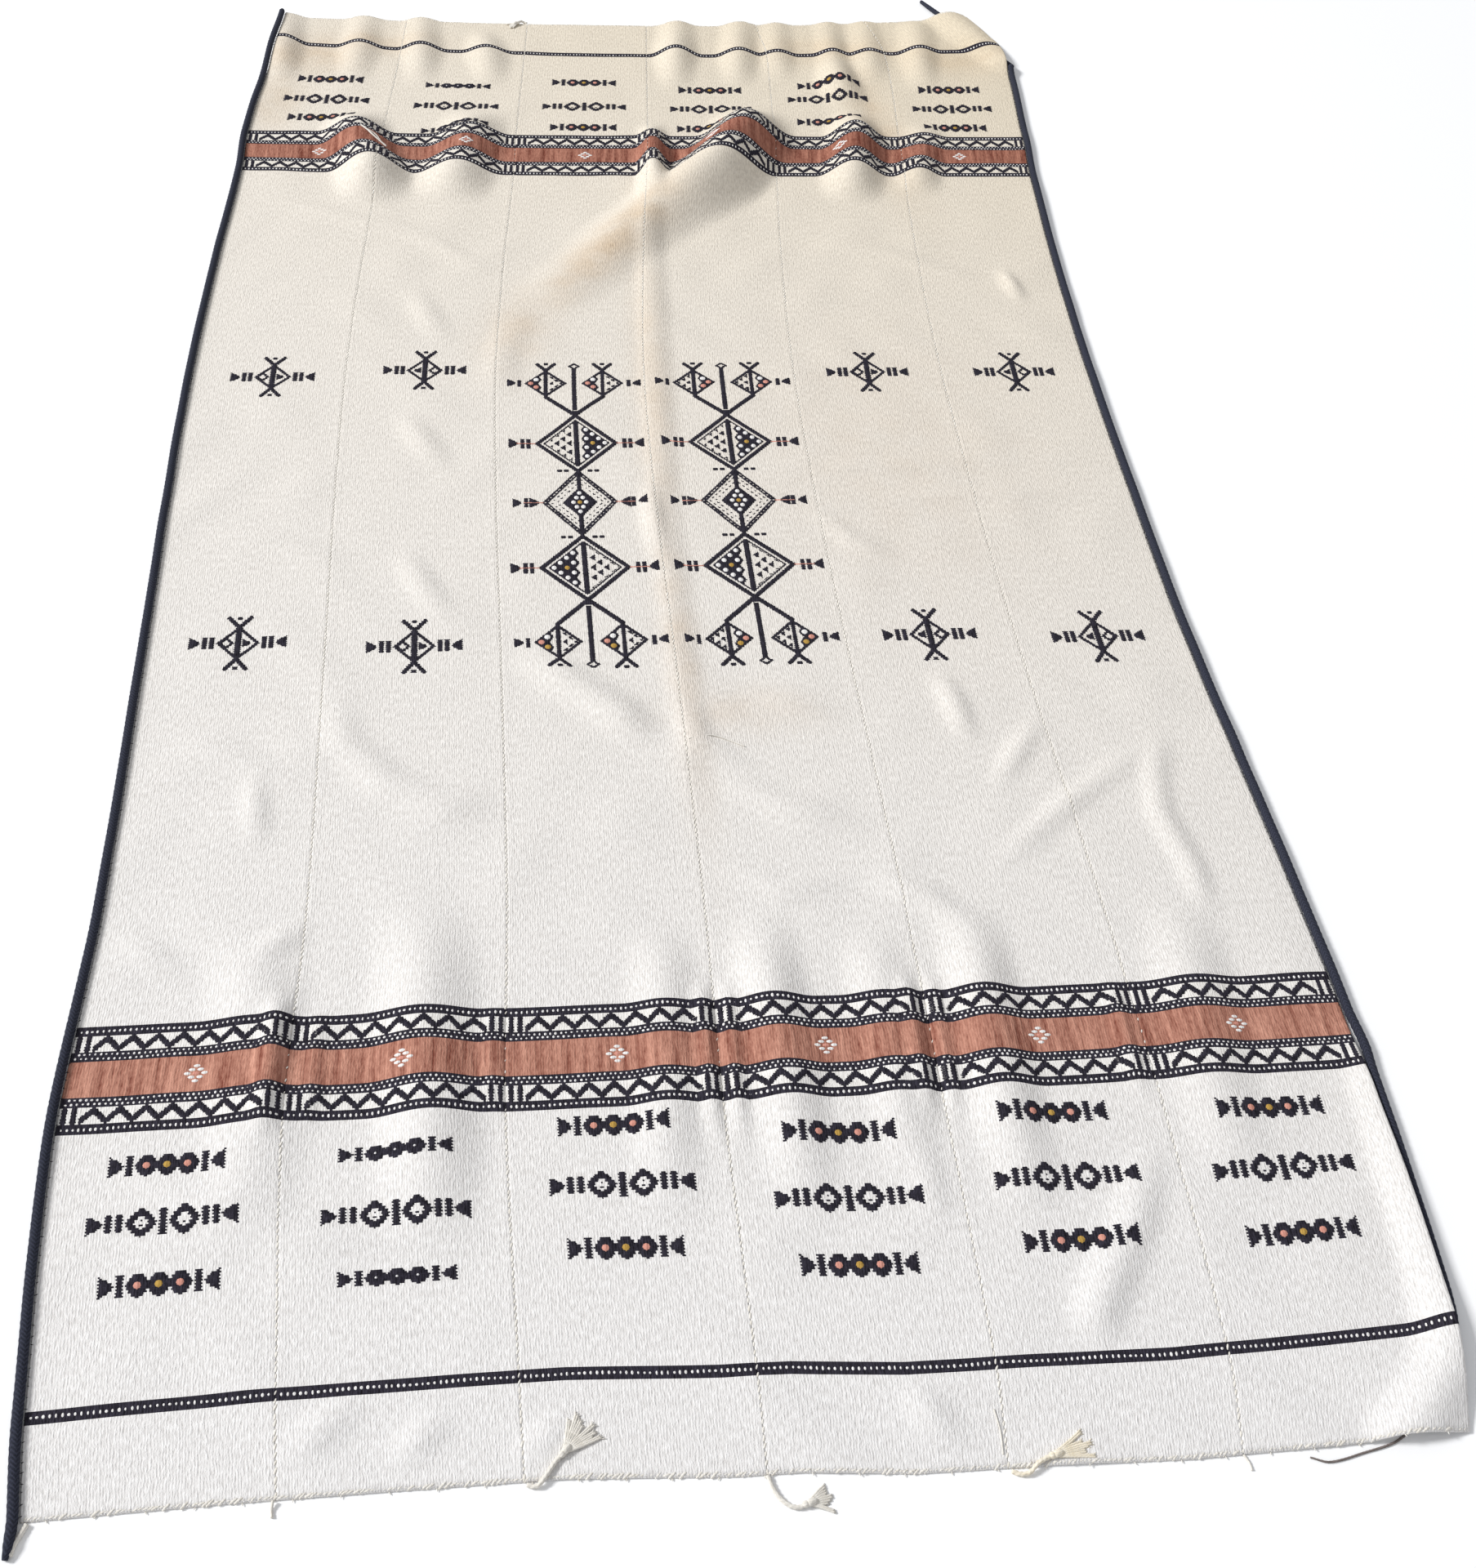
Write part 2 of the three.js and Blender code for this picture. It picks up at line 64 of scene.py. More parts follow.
# Floor and light
# A plain pale floor, with one soft light from far off on the left and weaker light from all over, so
# that the right-hand sides of the folds fall into a weak shade.
FLOOR_SIZE = 30.0
FLOOR_WHITE = "#fcfcfc"
WINDOW_AT = (-16.0, 2.6, 12.4)
WINDOW_SIZE = 4.4
WINDOW_POWER = 4150
SKY = "#f2f4f8"
SKY_STRENGTH = 0.56


def colour(hexadecimal):
    """A linear colour from an sRGB hex value."""
    values = [int(hexadecimal[i:i + 2], 16) / 255 for i in (1, 3, 5)]
    return [v / 12.92 if v <= 0.04045 else ((v + 0.055) / 1.055) ** 2.4 for v in values] + [1.0]


def add_node(material, kind, settings=None, links=None):
    """Adds a node. Settings are its own or its sockets' values, links go from sockets into its own."""
    new = material.node_tree.nodes.new(kind)
    for name, value in (settings or {}).items():
        if isinstance(name, str) and hasattr(new, name):
            setattr(new, name, value)
        else:
            new.inputs[name].default_value = value
    for name, source in (links or {}).items():
        material.node_tree.links.new(source, new.inputs[name])
    return new


def new_material(name):
    """An empty material and its shader, with the shader wired to the output."""
    material = bpy.data.materials.new(name)
    material.use_nodes = True
    return material, material.node_tree.nodes["Principled BSDF"]


bpy.ops.object.select_all(action="DESELECT")
bpy.ops.mesh.primitive_plane_add(size=FLOOR_SIZE)
floor = bpy.context.object
floor.name = "floor"
# Matt white board: even and bright, with no gloss
board, board_shader = new_material("matt_white_board")
board_shader.inputs["Base Color"].default_value = colour(FLOOR_WHITE)
board_shader.inputs["Roughness"].default_value = 0.9
floor.data.materials.append(board)
# The light faces the middle of the blanket
light = bpy.data.objects.new("window_light", bpy.data.lights.new("window_light", "AREA"))
light.data.size = WINDOW_SIZE
light.data.energy = WINDOW_POWER
light.rotation_mode = "QUATERNION"
light.rotation_quaternion = (-Vector(WINDOW_AT)).to_track_quat("-Z", "Y")
light.location = WINDOW_AT
bpy.context.collection.objects.link(light)
# Plain sRGB, so that the white floor comes out as white as it does in the photograph
bpy.context.scene.view_settings.view_transform = "Standard"
world = bpy.data.worlds.new("room")
world.use_nodes = True
world.node_tree.nodes["Background"].inputs["Color"].default_value = colour(SKY)
world.node_tree.nodes["Background"].inputs["Strength"].default_value = SKY_STRENGTH
bpy.context.scene.world = world


# Woven strips
# Six narrow strips of hand-spun cream wool, woven on a narrow loom and sewn selvedge to selvedge.
# The cloth lies on the floor with the folds it was left in, and its dark and red bands are woven in.
STRIPS = 6
STRIP_WIDTH = 210
LENGTH = 2570
CLOTH = 2.5
GAP = 0.3
# From the layout's millimetres, whose origin is the near end of the middle seam, to the frame's
LAYOUT_TO_FRAME = (0.216, -1318.0, 0.0)
# Along the strips, then X and Y of the left edge, of the middle seam and of the right edge
LAYOUT = np.array([
    (0, -610, -2, 2, 2, 620, 1),
    (92, -621, 84, 1, 94, 637, 99),
    (364, -640, 358, -8, 364, 642, 372),
    (620, -634, 618, -10, 620, 632, 624),
    (1010, -640, 1008, -20, 1010, 610, 1011),
    (1265, -645, 1265, -28, 1265, 605, 1264),
    (1545, -648, 1546, -30, 1545, 603, 1543),
    (1806, -643, 1809, -19, 1805, 608, 1803),
    (2068, -633, 2078, -1, 2064, 620, 2066),
    (2190, -634, 2200, 6, 2188, 630, 2190),
    (2470, -612, 2492, 17, 2457, 643, 2488),
    (2570, -606, 2585, 22, 2566, 606, 2606),
], float)
# The near end isn't straight: distance from the left edge, and how far it shifts along the strips.
# The shift is whole up to the first of these distances along the strips and gone at the second.
NEAR_END = ((0, 1), (180, 4), (380, 5), (460, 5), (600, -2), (660, -2), (760, -9), (880, -9),
            (1000, -11), (1140, -7), (1260, -2))
NEAR_END_FADES = (110, 360)
# Crest lines: X, Y, height and the distance to the foot on either side
FOLDS = {
    "first hump of the far band": [
        (-425, 1975, 0, 60), (-431, 2062, 37, 68), (-460, 2166, 34, 66), (-474, 2275, 0, 60)],
    "second hump of the far band": [
        (-312, 1975, 0, 60), (-301, 2060, 27, 70), (-282, 2174, 25, 68), (-272, 2285, 0, 60)],
    "great ridge across strips three and four": [
        (-190, 1690, 0, 60), (-120, 1780, 8, 70), (-24, 1910, 24, 78),
        (100, 2043, 54, 88), (160, 2158, 57, 84), (200, 2285, 0, 70)],
    "third hump of the far band": [
        (318, 1975, 0, 50), (328, 2055, 29, 60), (346, 2171, 33, 58), (352, 2275, 4, 45),
        (341, 2364, 20, 48), (341, 2450, 10, 36), (345, 2570, 6, 34)],
    "fourth hump of the far band": [
        (428, 2000, 0, 40), (437, 2074, 17, 45), (462, 2181, 9, 45), (468, 2240, 0, 40)],
    "pinch beside the middle seam": [
        (0, 1950, 0, 30), (8, 2063, 32, 30), (12, 2150, 22, 30), (16, 2240, 0, 30)],
    "pucker along the middle seam": [
        (-10, 700, 0, 30), (-11, 900, 3, 30), (-19, 1265, 4, 30), (-6, 1900, 5, 30), (0, 2000, 0, 30)],
    "far end ripple 1": [(-596, 2330, 0, 30), (-600, 2460, 16, 44), (-604, 2580, 8, 40)],
    "far end ripple 2": [(-478, 2340, 0, 30), (-473, 2461, 13, 46), (-470, 2580, 7, 40)],
    "far end ripple 3": [(-366, 2330, 0, 30), (-368, 2463, 14, 46), (-372, 2580, 8, 40)],
    "far end ripple 4": [(-246, 2330, 0, 30), (-256, 2456, 13, 48), (-272, 2560, 0, 30)],
    "far end ripple 5": [(58, 2320, 0, 30), (68, 2458, 18, 48), (76, 2570, 9, 40)],
    "far end ripple 6": [(166, 2330, 0, 30), (176, 2456, 14, 44), (186, 2570, 8, 40)],
    "far end ripple 7": [(244, 2350, 0, 30), (246, 2452, 9, 38), (252, 2570, 6, 36)],
    "far end ripple 8": [(404, 2350, 0, 30), (406, 2450, 10, 40), (412, 2570, 6, 36)],
    "far end ripple 9": [(484, 2320, 0, 30), (495, 2459, 13, 44), (505, 2560, 8, 44)],
    "cloth over the turned corner": [
        (664, 2395, 0, 30), (645, 2440, 13, 44), (600, 2530, 15, 52), (548, 2640, 15, 52)],
    "near band, first strip": [
        (-480, 640, 0, 60), (-466, 486, 9, 62), (-456, 371, 9, 60), (-450, 200, 0, 55)],
    "near band, second strip": [
        (-310, 640, 0, 60), (-299, 486, 14, 66), (-291, 371, 15, 64), (-286, 180, 0, 55)],
    "near band, left of the middle seam": [
        (-60, 600, 0, 40), (-60, 486, 8, 44), (-62, 371, 9, 44), (-70, 220, 0, 40)],
    "near band, fourth strip": [
        (48, 620, 0, 44), (50, 482, 12, 46), (58, 374, 12, 46), (64, 200, 0, 40)],
    "near band, right of the fourth strip": [
        (160, 590, 0, 40), (162, 482, 7, 42), (166, 374, 8, 40), (170, 230, 0, 40)],
    "near band, fifth strip": [
        (272, 620, 0, 44), (268, 484, 13, 48), (270, 370, 13, 48), (276, 200, 0, 40)],
    "near band, sixth strip": [
        (500, 620, 0, 50), (492, 486, 9, 56), (482, 372, 9, 56), (478, 220, 0, 44)],
    "cloth over the slipped cord": [
        (646, 420, 0, 30), (643, 345, 8, 30), (642, 240, 12, 36), (640, 150, 13, 38), (634, 90, 14, 40),
        (620, 55, 14, 42), (600, 32, 14, 42), (580, 12, 13, 42), (560, -4, 12, 40)],
}
# Fine creases that the solids leave out, in the same columns
CREASES = {
    "tail of the great ridge": [(-185, 1730, 0, 40), (-225, 1600, 4, 38), (-235, 1480, 0, 34)],
    "second strip, by the upper motif": [(-365, 1770, 0, 26), (-335, 1690, 4, 30), (-300, 1600, 0, 26)],
    "second strip, above the middle": [(-370, 1470, 0, 26), (-335, 1405, 5, 30), (-285, 1310, 0, 26)],
    "second strip, below the middle": [(-360, 1190, 0, 26), (-325, 1120, 5, 28), (-280, 1035, 0, 26)],
    "bow across strips one and two": [
        (-430, 950, 0, 30), (-400, 850, 5, 34), (-350, 790, 6, 34), (-285, 755, 4, 32), (-215, 750, 0, 28)],
    "slant beside the middle seam": [
        (-215, 1000, 0, 34), (-150, 945, 8, 38), (-90, 890, 9, 38), (-45, 835, 0, 32)],
    "long line from the left edge": [(-625, 1225, 0, 24), (-510, 1200, 3, 26), (-385, 1145, 0, 24)],
    "lower line from the left edge": [(-620, 885, 0, 24), (-520, 835, 3, 28), (-420, 775, 0, 24)],
    "short rib on the first strip": [(-500, 830, 0, 20), (-492, 760, 4, 22), (-482, 690, 0, 20)],
    "left slant above the near band": [(-628, 598, 0, 22), (-580, 565, 4, 26), (-530, 528, 0, 22)],
    "right slant above the near band": [(-415, 605, 0, 22), (-450, 576, 4, 26), (-485, 545, 0, 22)],
    "foot of the middle seam's slant": [(-14, 920, 0, 24), (2, 840, 5, 28), (70, 785, 0, 26)],
    "fourth strip, upper line": [(40, 915, 0, 22), (115, 895, 3, 26), (190, 870, 0, 22)],
    "fourth strip, middle line": [(-10, 800, 0, 24), (90, 740, 5, 30), (200, 695, 0, 26)],
    "fourth strip, lower line": [(-5, 665, 0, 22), (75, 622, 4, 26), (160, 630, 0, 22)],
    "slant onto the fifth strip": [(165, 635, 0, 24), (230, 605, 6, 28), (290, 548, 0, 24)],
    "upright of the star": [(290, 960, 0, 20), (306, 890, 6, 24), (318, 815, 0, 20)],
    "right arm of the star": [(415, 880, 0, 18), (365, 810, 5, 22), (322, 745, 0, 18)],
    "long arm of the star": [(555, 845, 0, 20), (400, 725, 5, 24), (290, 625, 0, 20)],
    "bow by the right edge": [
        (548, 850, 0, 20), (522, 780, 4, 24), (512, 715, 5, 24), (530, 635, 5, 24), (533, 560, 0, 20)],
    "fold off the fourth column": [(165, 1262, 0, 20), (220, 1185, 4, 24), (290, 1140, 0, 22)],
    "pinch of the middle seam": [(-38, 1320, 0, 20), (-34, 1240, 7, 22), (-28, 1130, 0, 20)],
    "dent by the right edge": [(522, 1810, 0, 16), (532, 1755, 7, 18), (545, 1705, 0, 16)],
    "first line under the far band": [(-628, 2015, 0, 26), (-430, 1925, 4, 30), (-240, 1880, 0, 28)],
    "second line under the far band": [(-420, 1935, 0, 20), (-320, 1865, 3, 24), (-230, 1775, 0, 22)],
    "line over strips four and five": [(205, 1885, 0, 26), (350, 1845, 4, 30), (530, 1745, 0, 26)],
    "line at the upper motifs": [(110, 1350, 0, 20), (280, 1334, 3, 24), (550, 1342, 0, 20)],
    "line at the middle": [(235, 1270, 0, 18), (420, 1274, 3, 20), (615, 1262, 0, 18)],
    "valley side near the right edge": [
        (415, 315, 0, 26), (368, 215, 6, 32), (318, 135, 7, 32), (300, 92, 0, 26)],
    "rib on the fifth strip": [(180, 320, 0, 22), (180, 265, 3, 24), (184, 215, 0, 22)],
    "long line of the near end": [
        (-590, 322, 0, 26), (-490, 275, 4, 30), (-400, 245, 4, 30), (-290, 222, 0, 26)],
    "near end slant 1": [(-410, 34, 0, 22), (-372, 62, 4, 26), (-332, 90, 0, 22)],
    "near end slant 2": [(-320, 26, 0, 20), (-290, 48, 4, 24), (-258, 70, 0, 20)],
    "near end slant 3": [(-215, 20, 0, 20), (-184, 42, 4, 24), (-154, 64, 0, 20)],
    "near end slant 4": [(124, 76, 0, 20), (148, 44, 4, 24), (176, 12, 0, 20)],
}
# The cloth rises beside the seams of the near band, in the same columns
SEAM_LIPS = {
    "left of the first": [(-444, 520, 0, 20), (-444, 470, 9, 19), (-447, 385, 8, 19), (-446, 335, 0, 18)],
    "right of the first": [(-404, 500, 0, 16), (-404, 460, 4, 15), (-406, 390, 4, 15), (-406, 340, 0, 14)],
    "left of the second": [(-232, 500, 0, 16), (-232, 460, 4, 16), (-232, 390, 4, 16), (-230, 345, 0, 14)],
    "left of the middle": [(-21, 520, 0, 14), (-21, 470, 7, 13), (-20, 385, 7, 13), (-17, 300, 0, 12)],
    "right of the middle": [(5, 520, 0, 14), (5, 470, 6, 12), (6, 385, 6, 12), (8, 300, 0, 12)],
    "left of the fourth": [(188, 520, 0, 16), (190, 470, 7, 15), (192, 385, 7, 15), (194, 320, 0, 14)],
    "right of the fourth": [(216, 520, 0, 14), (217, 470, 5, 12), (219, 385, 5, 12), (220, 320, 0, 12)],
    "left of the fifth": [(402, 500, 0, 16), (404, 460, 5, 16), (406, 390, 5, 16), (408, 340, 0, 14)],
}
# Between the folds the cloth doesn't lie quite flat: it stands off the floor in soft patches. The
# sizes of each wave: millimetres a radian, how far its line wanders, and over how many millimetres.
RUMPLE = 0.75
RIPPLE_ACROSS = (34, 1.7, 83)
RIPPLE_ALONG = (47, 1.3, 67)
SWELL = (57, 2.1, 131)
SWELL_LEAN = 0.6
SWELL_SHARE = 0.6
# How far from a point its slope is measured, and the most that a slope adds to the cloth's depth
SLOPE_STEP = 4.0
STEEPEST = 1.4
# The woven lines and bands, as (depth along the strip, kind), from the near side of each
EDGE_LINES = (86, 2464)
EDGE_LINE = 12
BANDS = ((364, 484), (2068, 2190))
BAND_STRIPES = ((11, "one row of dots"), (18, "zigzag"), (11, "two rows of dots"), (40, "red"),
                (11, "two rows of dots"), (18, "zigzag"), (11, "one row of dots"))
GROUNDS = {"one row of dots": 1, "two rows of dots": 1, "red": 2, "zigzag": 3, "cream": 0}
# The mesh: columns in a strip, rows in the folded parts and in the flat one, and where that one lies
COLUMNS = 34
FINE_ROW = 6
PLAIN_ROW = 9
FLAT_PART = (660, 1930)
# The selvedge is thin at its very edge and stands a little proud beside it: distance, share of depth
SELVEDGE = ((0.0, 0.86), (1.2, 1.0), (2.8, 1.08), (6.0, 1.0))
# The corner turned under: where its crease starts, its free edge beside the cord, the crease's angles
# from the cloth round to the floor, and the parts of the flap
CREASE_FROM = 2490
FREE_EDGE = ((629, 2492), (552, 2632))
CREASE_ROWS = 14
CREASE_ANGLES = np.radians(np.linspace(100, -90, 12))
CREASE_INSIDE = 0.4
FLAP_PARTS = (0.35, 0.7, 1.0)
FLAP_WIDE = 80
FLAP_COLUMN = 4.0
# The sheet above it ends a little short, over this much of its length
CREASE_CUT = 8
CREASE_EASE = 14
# Beige stains, and a long beige streak along the great ridge's crest: X, Y, half length, half width, turn
# of the long way from X in degrees, strength
STAINS = (
    (-555, 2447, 110, 70, 20, 0.6), (-447, 2490, 110, 45, 0, 0.5), (-600, 2300, 100, 45, 90, 0.5),
    (-60, 1860, 190, 42, 54, 0.85), (-205, 1650, 110, 50, 75, 0.45), (-20, 1480, 380, 26, 90, 0.5),
    (-12, 1000, 260, 24, 92, 0.5), (60, 890, 90, 40, 0, 0.35), (395, 2200, 220, 42, 95, 0.45),
    (330, 2480, 150, 50, 0, 0.4), (560, 2450, 120, 60, 0, 0.4), (300, 1350, 330, 220, 90, 0.2),
)


def through(table, at):
    """The rows of a table on a smooth line through it, at values of its first column."""
    at = np.asarray(at, float)
    last = len(table) - 1
    to = np.clip(np.searchsorted(table[:, 0], at), 1, last)
    before, start, end, after = (table[np.clip(i, 0, last)] for i in (to - 2, to - 1, to, to + 1))
    span = end[..., :1] - start[..., :1]
    t = (at[..., None] - start[..., :1]) / span
    leaving = (end - before) / (end[..., :1] - before[..., :1]) * span
    arriving = (after - start) / (after[..., :1] - start[..., :1]) * span
    return (start * (2 * t**3 - 3 * t**2 + 1) + leaving * (t**3 - 2 * t**2 + t)
            + end * (3 * t**2 - 2 * t**3) + arriving * (t**3 - t**2))


def plan(across, along):
    """X and Y on the floor of a point of the flat cloth. Across is from the left edge."""
    across, along = np.broadcast_arrays(np.asarray(across, float), np.asarray(along, float))
    half = across / (STRIPS * STRIP_WIDTH / 2) - 1
    rows = through(LAYOUT, along)
    edge = np.where(half[..., None] < 0, rows[..., 1:3], rows[..., 5:7])
    middle = rows[..., 3:5]
    share = np.abs(half)
    shift = np.interp(across, *np.transpose(NEAR_END)) * np.interp(along, NEAR_END_FADES, (1, 0))
    return (middle[..., 0] + share * (edge[..., 0] - middle[..., 0]),
            middle[..., 1] + share**2 * (edge[..., 1] - middle[..., 1]) + shift)


def lift(crest, x, y):
    """How high one fold lifts the cloth: a soft hump about its crest line."""
    highest = np.zeros_like(x)
    for (ax, ay, ahigh, afoot), (bx, by, bhigh, bfoot) in zip(crest, crest[1:]):
        reach = max(afoot, bfoot)
        near = np.nonzero((x > min(ax, bx) - reach) & (x < max(ax, bx) + reach)
                          & (y > min(ay, by) - reach) & (y < max(ay, by) + reach))
        u, v = x[near], y[near]
        dx, dy = bx - ax, by - ay
        t = np.clip(((u - ax) * dx + (v - ay) * dy) / (dx * dx + dy * dy), 0, 1)
        share = np.hypot(u - ax - t * dx, v - ay - t * dy) / (afoot + t * (bfoot - afoot))
        high = ahigh + (bhigh - ahigh) * t * t * (3 - 2 * t)
        hump = np.where(share < 1, high * (1 + np.cos(np.pi * np.minimum(share, 1))) / 2, 0)
        highest[near] = np.maximum(highest[near], hump)
    return highest


def wandering(at, beside, wave):
    """A wave across its line, which wanders from side to side."""
    long, wander, over = wave
    return np.sin(at / long + wander * np.sin(beside / over))


def height(x, y):
    """The height of the cloth's underside over the floor."""
    x, y = (np.atleast_1d(np.asarray(value, float)) for value in (x, y))
    ripple = wandering(x, y, RIPPLE_ACROSS) * wandering(y, x, RIPPLE_ALONG)
    swell = wandering(x + SWELL_LEAN * y, y, SWELL)
    return RUMPLE * (ripple + SWELL_SHARE * swell) ** 2 + sum(
        lift(crest, x, y) for folds in (FOLDS, CREASES, SEAM_LIPS) for crest in folds.values())


def depth(x, y):
    """The cloth's thickness, measured straight up where it slopes."""
    slope = np.hypot(height(x + SLOPE_STEP, y) - height(x - SLOPE_STEP, y),
                     height(x, y + SLOPE_STEP) - height(x, y - SLOPE_STEP)) / (2 * SLOPE_STEP)
    return CLOTH * np.minimum(STEEPEST, np.hypot(1, slope))


def surface(across, along, proud=0.0):
    """Layout points on the cloth's upper side, or so far proud of it."""
    x, y = plan(across, along)
    thick = depth(x, y)
    return np.stack([x, y, height(x, y) + thick + proud * thick / CLOTH], axis=-1)


def cloth_object(name, points, faces, materials, slots=None, uv=None):
    """A smooth mesh in the frame, from layout points. The map gives metres of the flat cloth."""
    mesh = bpy.data.meshes.new(name)
    places = (np.asarray(points, float) + LAYOUT_TO_FRAME) / 1000
    mesh.from_pydata(places.tolist(), [], [list(face) for face in faces])
    for material in materials:
        mesh.materials.append(material)
    if slots is not None:
        mesh.polygons.foreach_set("material_index", np.asarray(slots, dtype=np.int32))
    if uv is not None:
        corners = np.empty(len(mesh.loops), dtype=np.int32)
        mesh.loops.foreach_get("vertex_index", corners)
        layer = mesh.uv_layers.new(name="cloth")
        layer.data.foreach_set("uv", (np.asarray(uv, float)[corners] / 1000).ravel())
    mesh.shade_smooth()
    made = bpy.data.objects.new(name, mesh)
    bpy.context.collection.objects.link(made)
    return made


def grid_faces(rows, columns, first=0):
    """The quads of a grid of points, counted row by row, facing up."""
    corner = (np.arange(rows - 1)[:, None] * columns + np.arange(columns - 1)).ravel() + first
    return np.stack([corner, corner + 1, corner + columns + 1, corner + columns], axis=1)


def cloth_rows():
    """The rows of points along a strip, and the ground of the cloth after each."""
    parts = [(0, EDGE_LINES[0], "cream"), (EDGE_LINES[0], EDGE_LINES[0] + EDGE_LINE, "one row of dots")]
    for band_from, band_to in BANDS:
        parts.append((parts[-1][1], band_from, "cream"))
        for deep, kind in BAND_STRIPES:
            start = parts[-1][1]
            share = (band_to - band_from) / sum(row[0] for row in BAND_STRIPES)
            parts.append((start, start + deep * share, kind))
    parts += [(parts[-1][1], EDGE_LINES[1], "cream"),
              (EDGE_LINES[1], EDGE_LINES[1] + EDGE_LINE, "one row of dots"),
              (EDGE_LINES[1] + EDGE_LINE, LENGTH, "cream")]
    rows, grounds = [], []
    for start, end, kind in parts:
        cuts = [start, *[cut for cut in FLAT_PART if start < cut < end], end]
        for low, high in zip(cuts, cuts[1:]):
            step = FINE_ROW if high <= FLAT_PART[0] or low >= FLAT_PART[1] else PLAIN_ROW
            count = max(1, round((high - low) / step))
            rows += list(np.linspace(low, high, count + 1)[:-1])
            grounds += [GROUNDS[kind]] * count
    return np.array(rows + [LENGTH]), grounds, parts


ROWS, ROW_GROUNDS, WOVEN_PARTS = cloth_rows()


# Sizes in the wool, in metres of the flat cloth. Uneven yarn shows as lumps, wide and long.
LUMP = (0.0025, 0.0075)
RIB_PITCH = 0.0026
FIBRE = 0.0012
DYE_STREAK = (0.007, 0.09)
STAIN_GRAIN = 22.0
# How much of the yarn's colour comes from the ribs: painted shade in the grooves between them and painted
# light on their tops
RIB_SHARE = 0.16


def wool(name, pale, shade, streak, rib_depth, painted_light_tint=None, stained=None, dyed=0.0):
    """Hand-spun wool, woven so that the ribs run along the strip: matt, streaky and slightly hairy, with
    painted shade in the grooves between the ribs.
    Its far-end tint is painted warm light, strongest at the far end and on the right; stained is its tint
    in the stains, and dyed how much broad streaks of uneven dye show."""
    material, shader = new_material(name)
    flat = add_node(material, "ShaderNodeUVMap").outputs["UV"]
    long_way = add_node(material, "ShaderNodeMapping", {"Scale": (1 / LUMP[0], 1 / LUMP[1], 1)},
                        {"Vector": flat}).outputs["Vector"]
    streaks = add_node(material, "ShaderNodeTexNoise", {"Scale": 1.0, "Detail": 2.0, "Roughness": 0.6},
                       {"Vector": long_way}).outputs["Fac"]
    # A wave node repeats every 0.314 of its scaled coordinate
    ribs = add_node(material, "ShaderNodeTexWave",
                    {"Scale": 0.314 / RIB_PITCH, "Distortion": 5.0, "Detail": 3.0, "Detail Scale": 0.8},
                    {"Vector": flat}).outputs["Fac"]
    # Loose fibres
    fuzz = add_node(material, "ShaderNodeTexNoise", {"Scale": 1 / FIBRE, "Detail": 2.0},
                    {"Vector": flat}).outputs["Fac"]
    # The ribs' part of the colour is painted shade: the grooves between them come out darker
    woven = add_node(material, "ShaderNodeMath", {"operation": "MULTIPLY_ADD", 1: RIB_SHARE},
                     {0: ribs, 2: streaks}).outputs[0]
    if dyed:
        # The dye took unevenly on groups of yarns
        broad = add_node(material, "ShaderNodeMapping",
                         {"Scale": (1 / DYE_STREAK[0], 1 / DYE_STREAK[1], 1)},
                         {"Vector": flat}).outputs["Vector"]
        groups = add_node(material, "ShaderNodeTexNoise", {"Scale": 1.0, "Detail": 2.0},
                          {"Vector": broad}).outputs["Fac"]
        woven = add_node(material, "ShaderNodeMath", {"operation": "MULTIPLY_ADD", 1: dyed},
                         {0: groups, 2: woven}).outputs[0]
    middle = 0.5 + RIB_SHARE / 2 + dyed / 2
    spread = add_node(material, "ShaderNodeMapRange",
                      {"From Min": middle - streak, "From Max": middle + streak}, {"Value": woven})
    mixed = add_node(material, "ShaderNodeMix",
                     {"data_type": "RGBA", 6: colour(shade), 7: colour(pale)},
                     {0: spread.outputs["Result"]}).outputs[2]
    # Painted warm light: a tint that grows towards the far end and the right
    if painted_light_tint:
        painted_warm_light = add_node(material, "ShaderNodeAttribute", {"attribute_name": "painted_warm_light"}).outputs["Fac"]
        mixed = add_node(material, "ShaderNodeMix",
                         {"data_type": "RGBA", "blend_type": "MULTIPLY", 7: colour(painted_light_tint)},
                         {0: painted_warm_light, 6: mixed}).outputs[2]
    if stained:
        stain = add_node(material, "ShaderNodeAttribute", {"attribute_name": "stain"}).outputs["Fac"]
        patches = add_node(material, "ShaderNodeTexNoise", {"Scale": STAIN_GRAIN, "Detail": 4.0},
                           {"Vector": flat}).outputs["Fac"]
        uneven = add_node(material, "ShaderNodeMath", {"operation": "MULTIPLY"}, {0: stain, 1: patches})
        mixed = add_node(material, "ShaderNodeMix",
                         {"data_type": "RGBA", "blend_type": "MULTIPLY", 7: colour(stained)},
                         {0: uneven.outputs[0], 6: mixed}).outputs[2]
    material.node_tree.links.new(mixed, shader.inputs["Base Color"])
    raised = add_node(material, "ShaderNodeMath", {"operation": "MULTIPLY_ADD", 1: 0.5},
                      {0: fuzz, 2: woven}).outputs[0]
    bump = add_node(material, "ShaderNodeBump", {"Strength": 1.0, "Distance": rib_depth},
                    {"Height": raised})
    material.node_tree.links.new(bump.outputs["Normal"], shader.inputs["Normal"])
    shader.inputs["Roughness"].default_value = 0.95
    shader.inputs["Specular IOR Level"].default_value = 0.1
    return material


# Undyed hand-spun sheep's wool: off-white and streaked by uneven yarn, tinted yellow towards the far end by
# painted warm light
cream_wool = wool("undyed_cream_wool", "#f9f8f8", "#cfccca", 0.32, 0.0010, painted_light_tint="#f0dcb0",
                  stained="#d9b98c")
# Wool dyed with indigo over brown: nearly black, with a violet cast
dark_wool = wool("indigo_black_wool", "#3e3b46", "#17151a", 0.28, 0.0011)
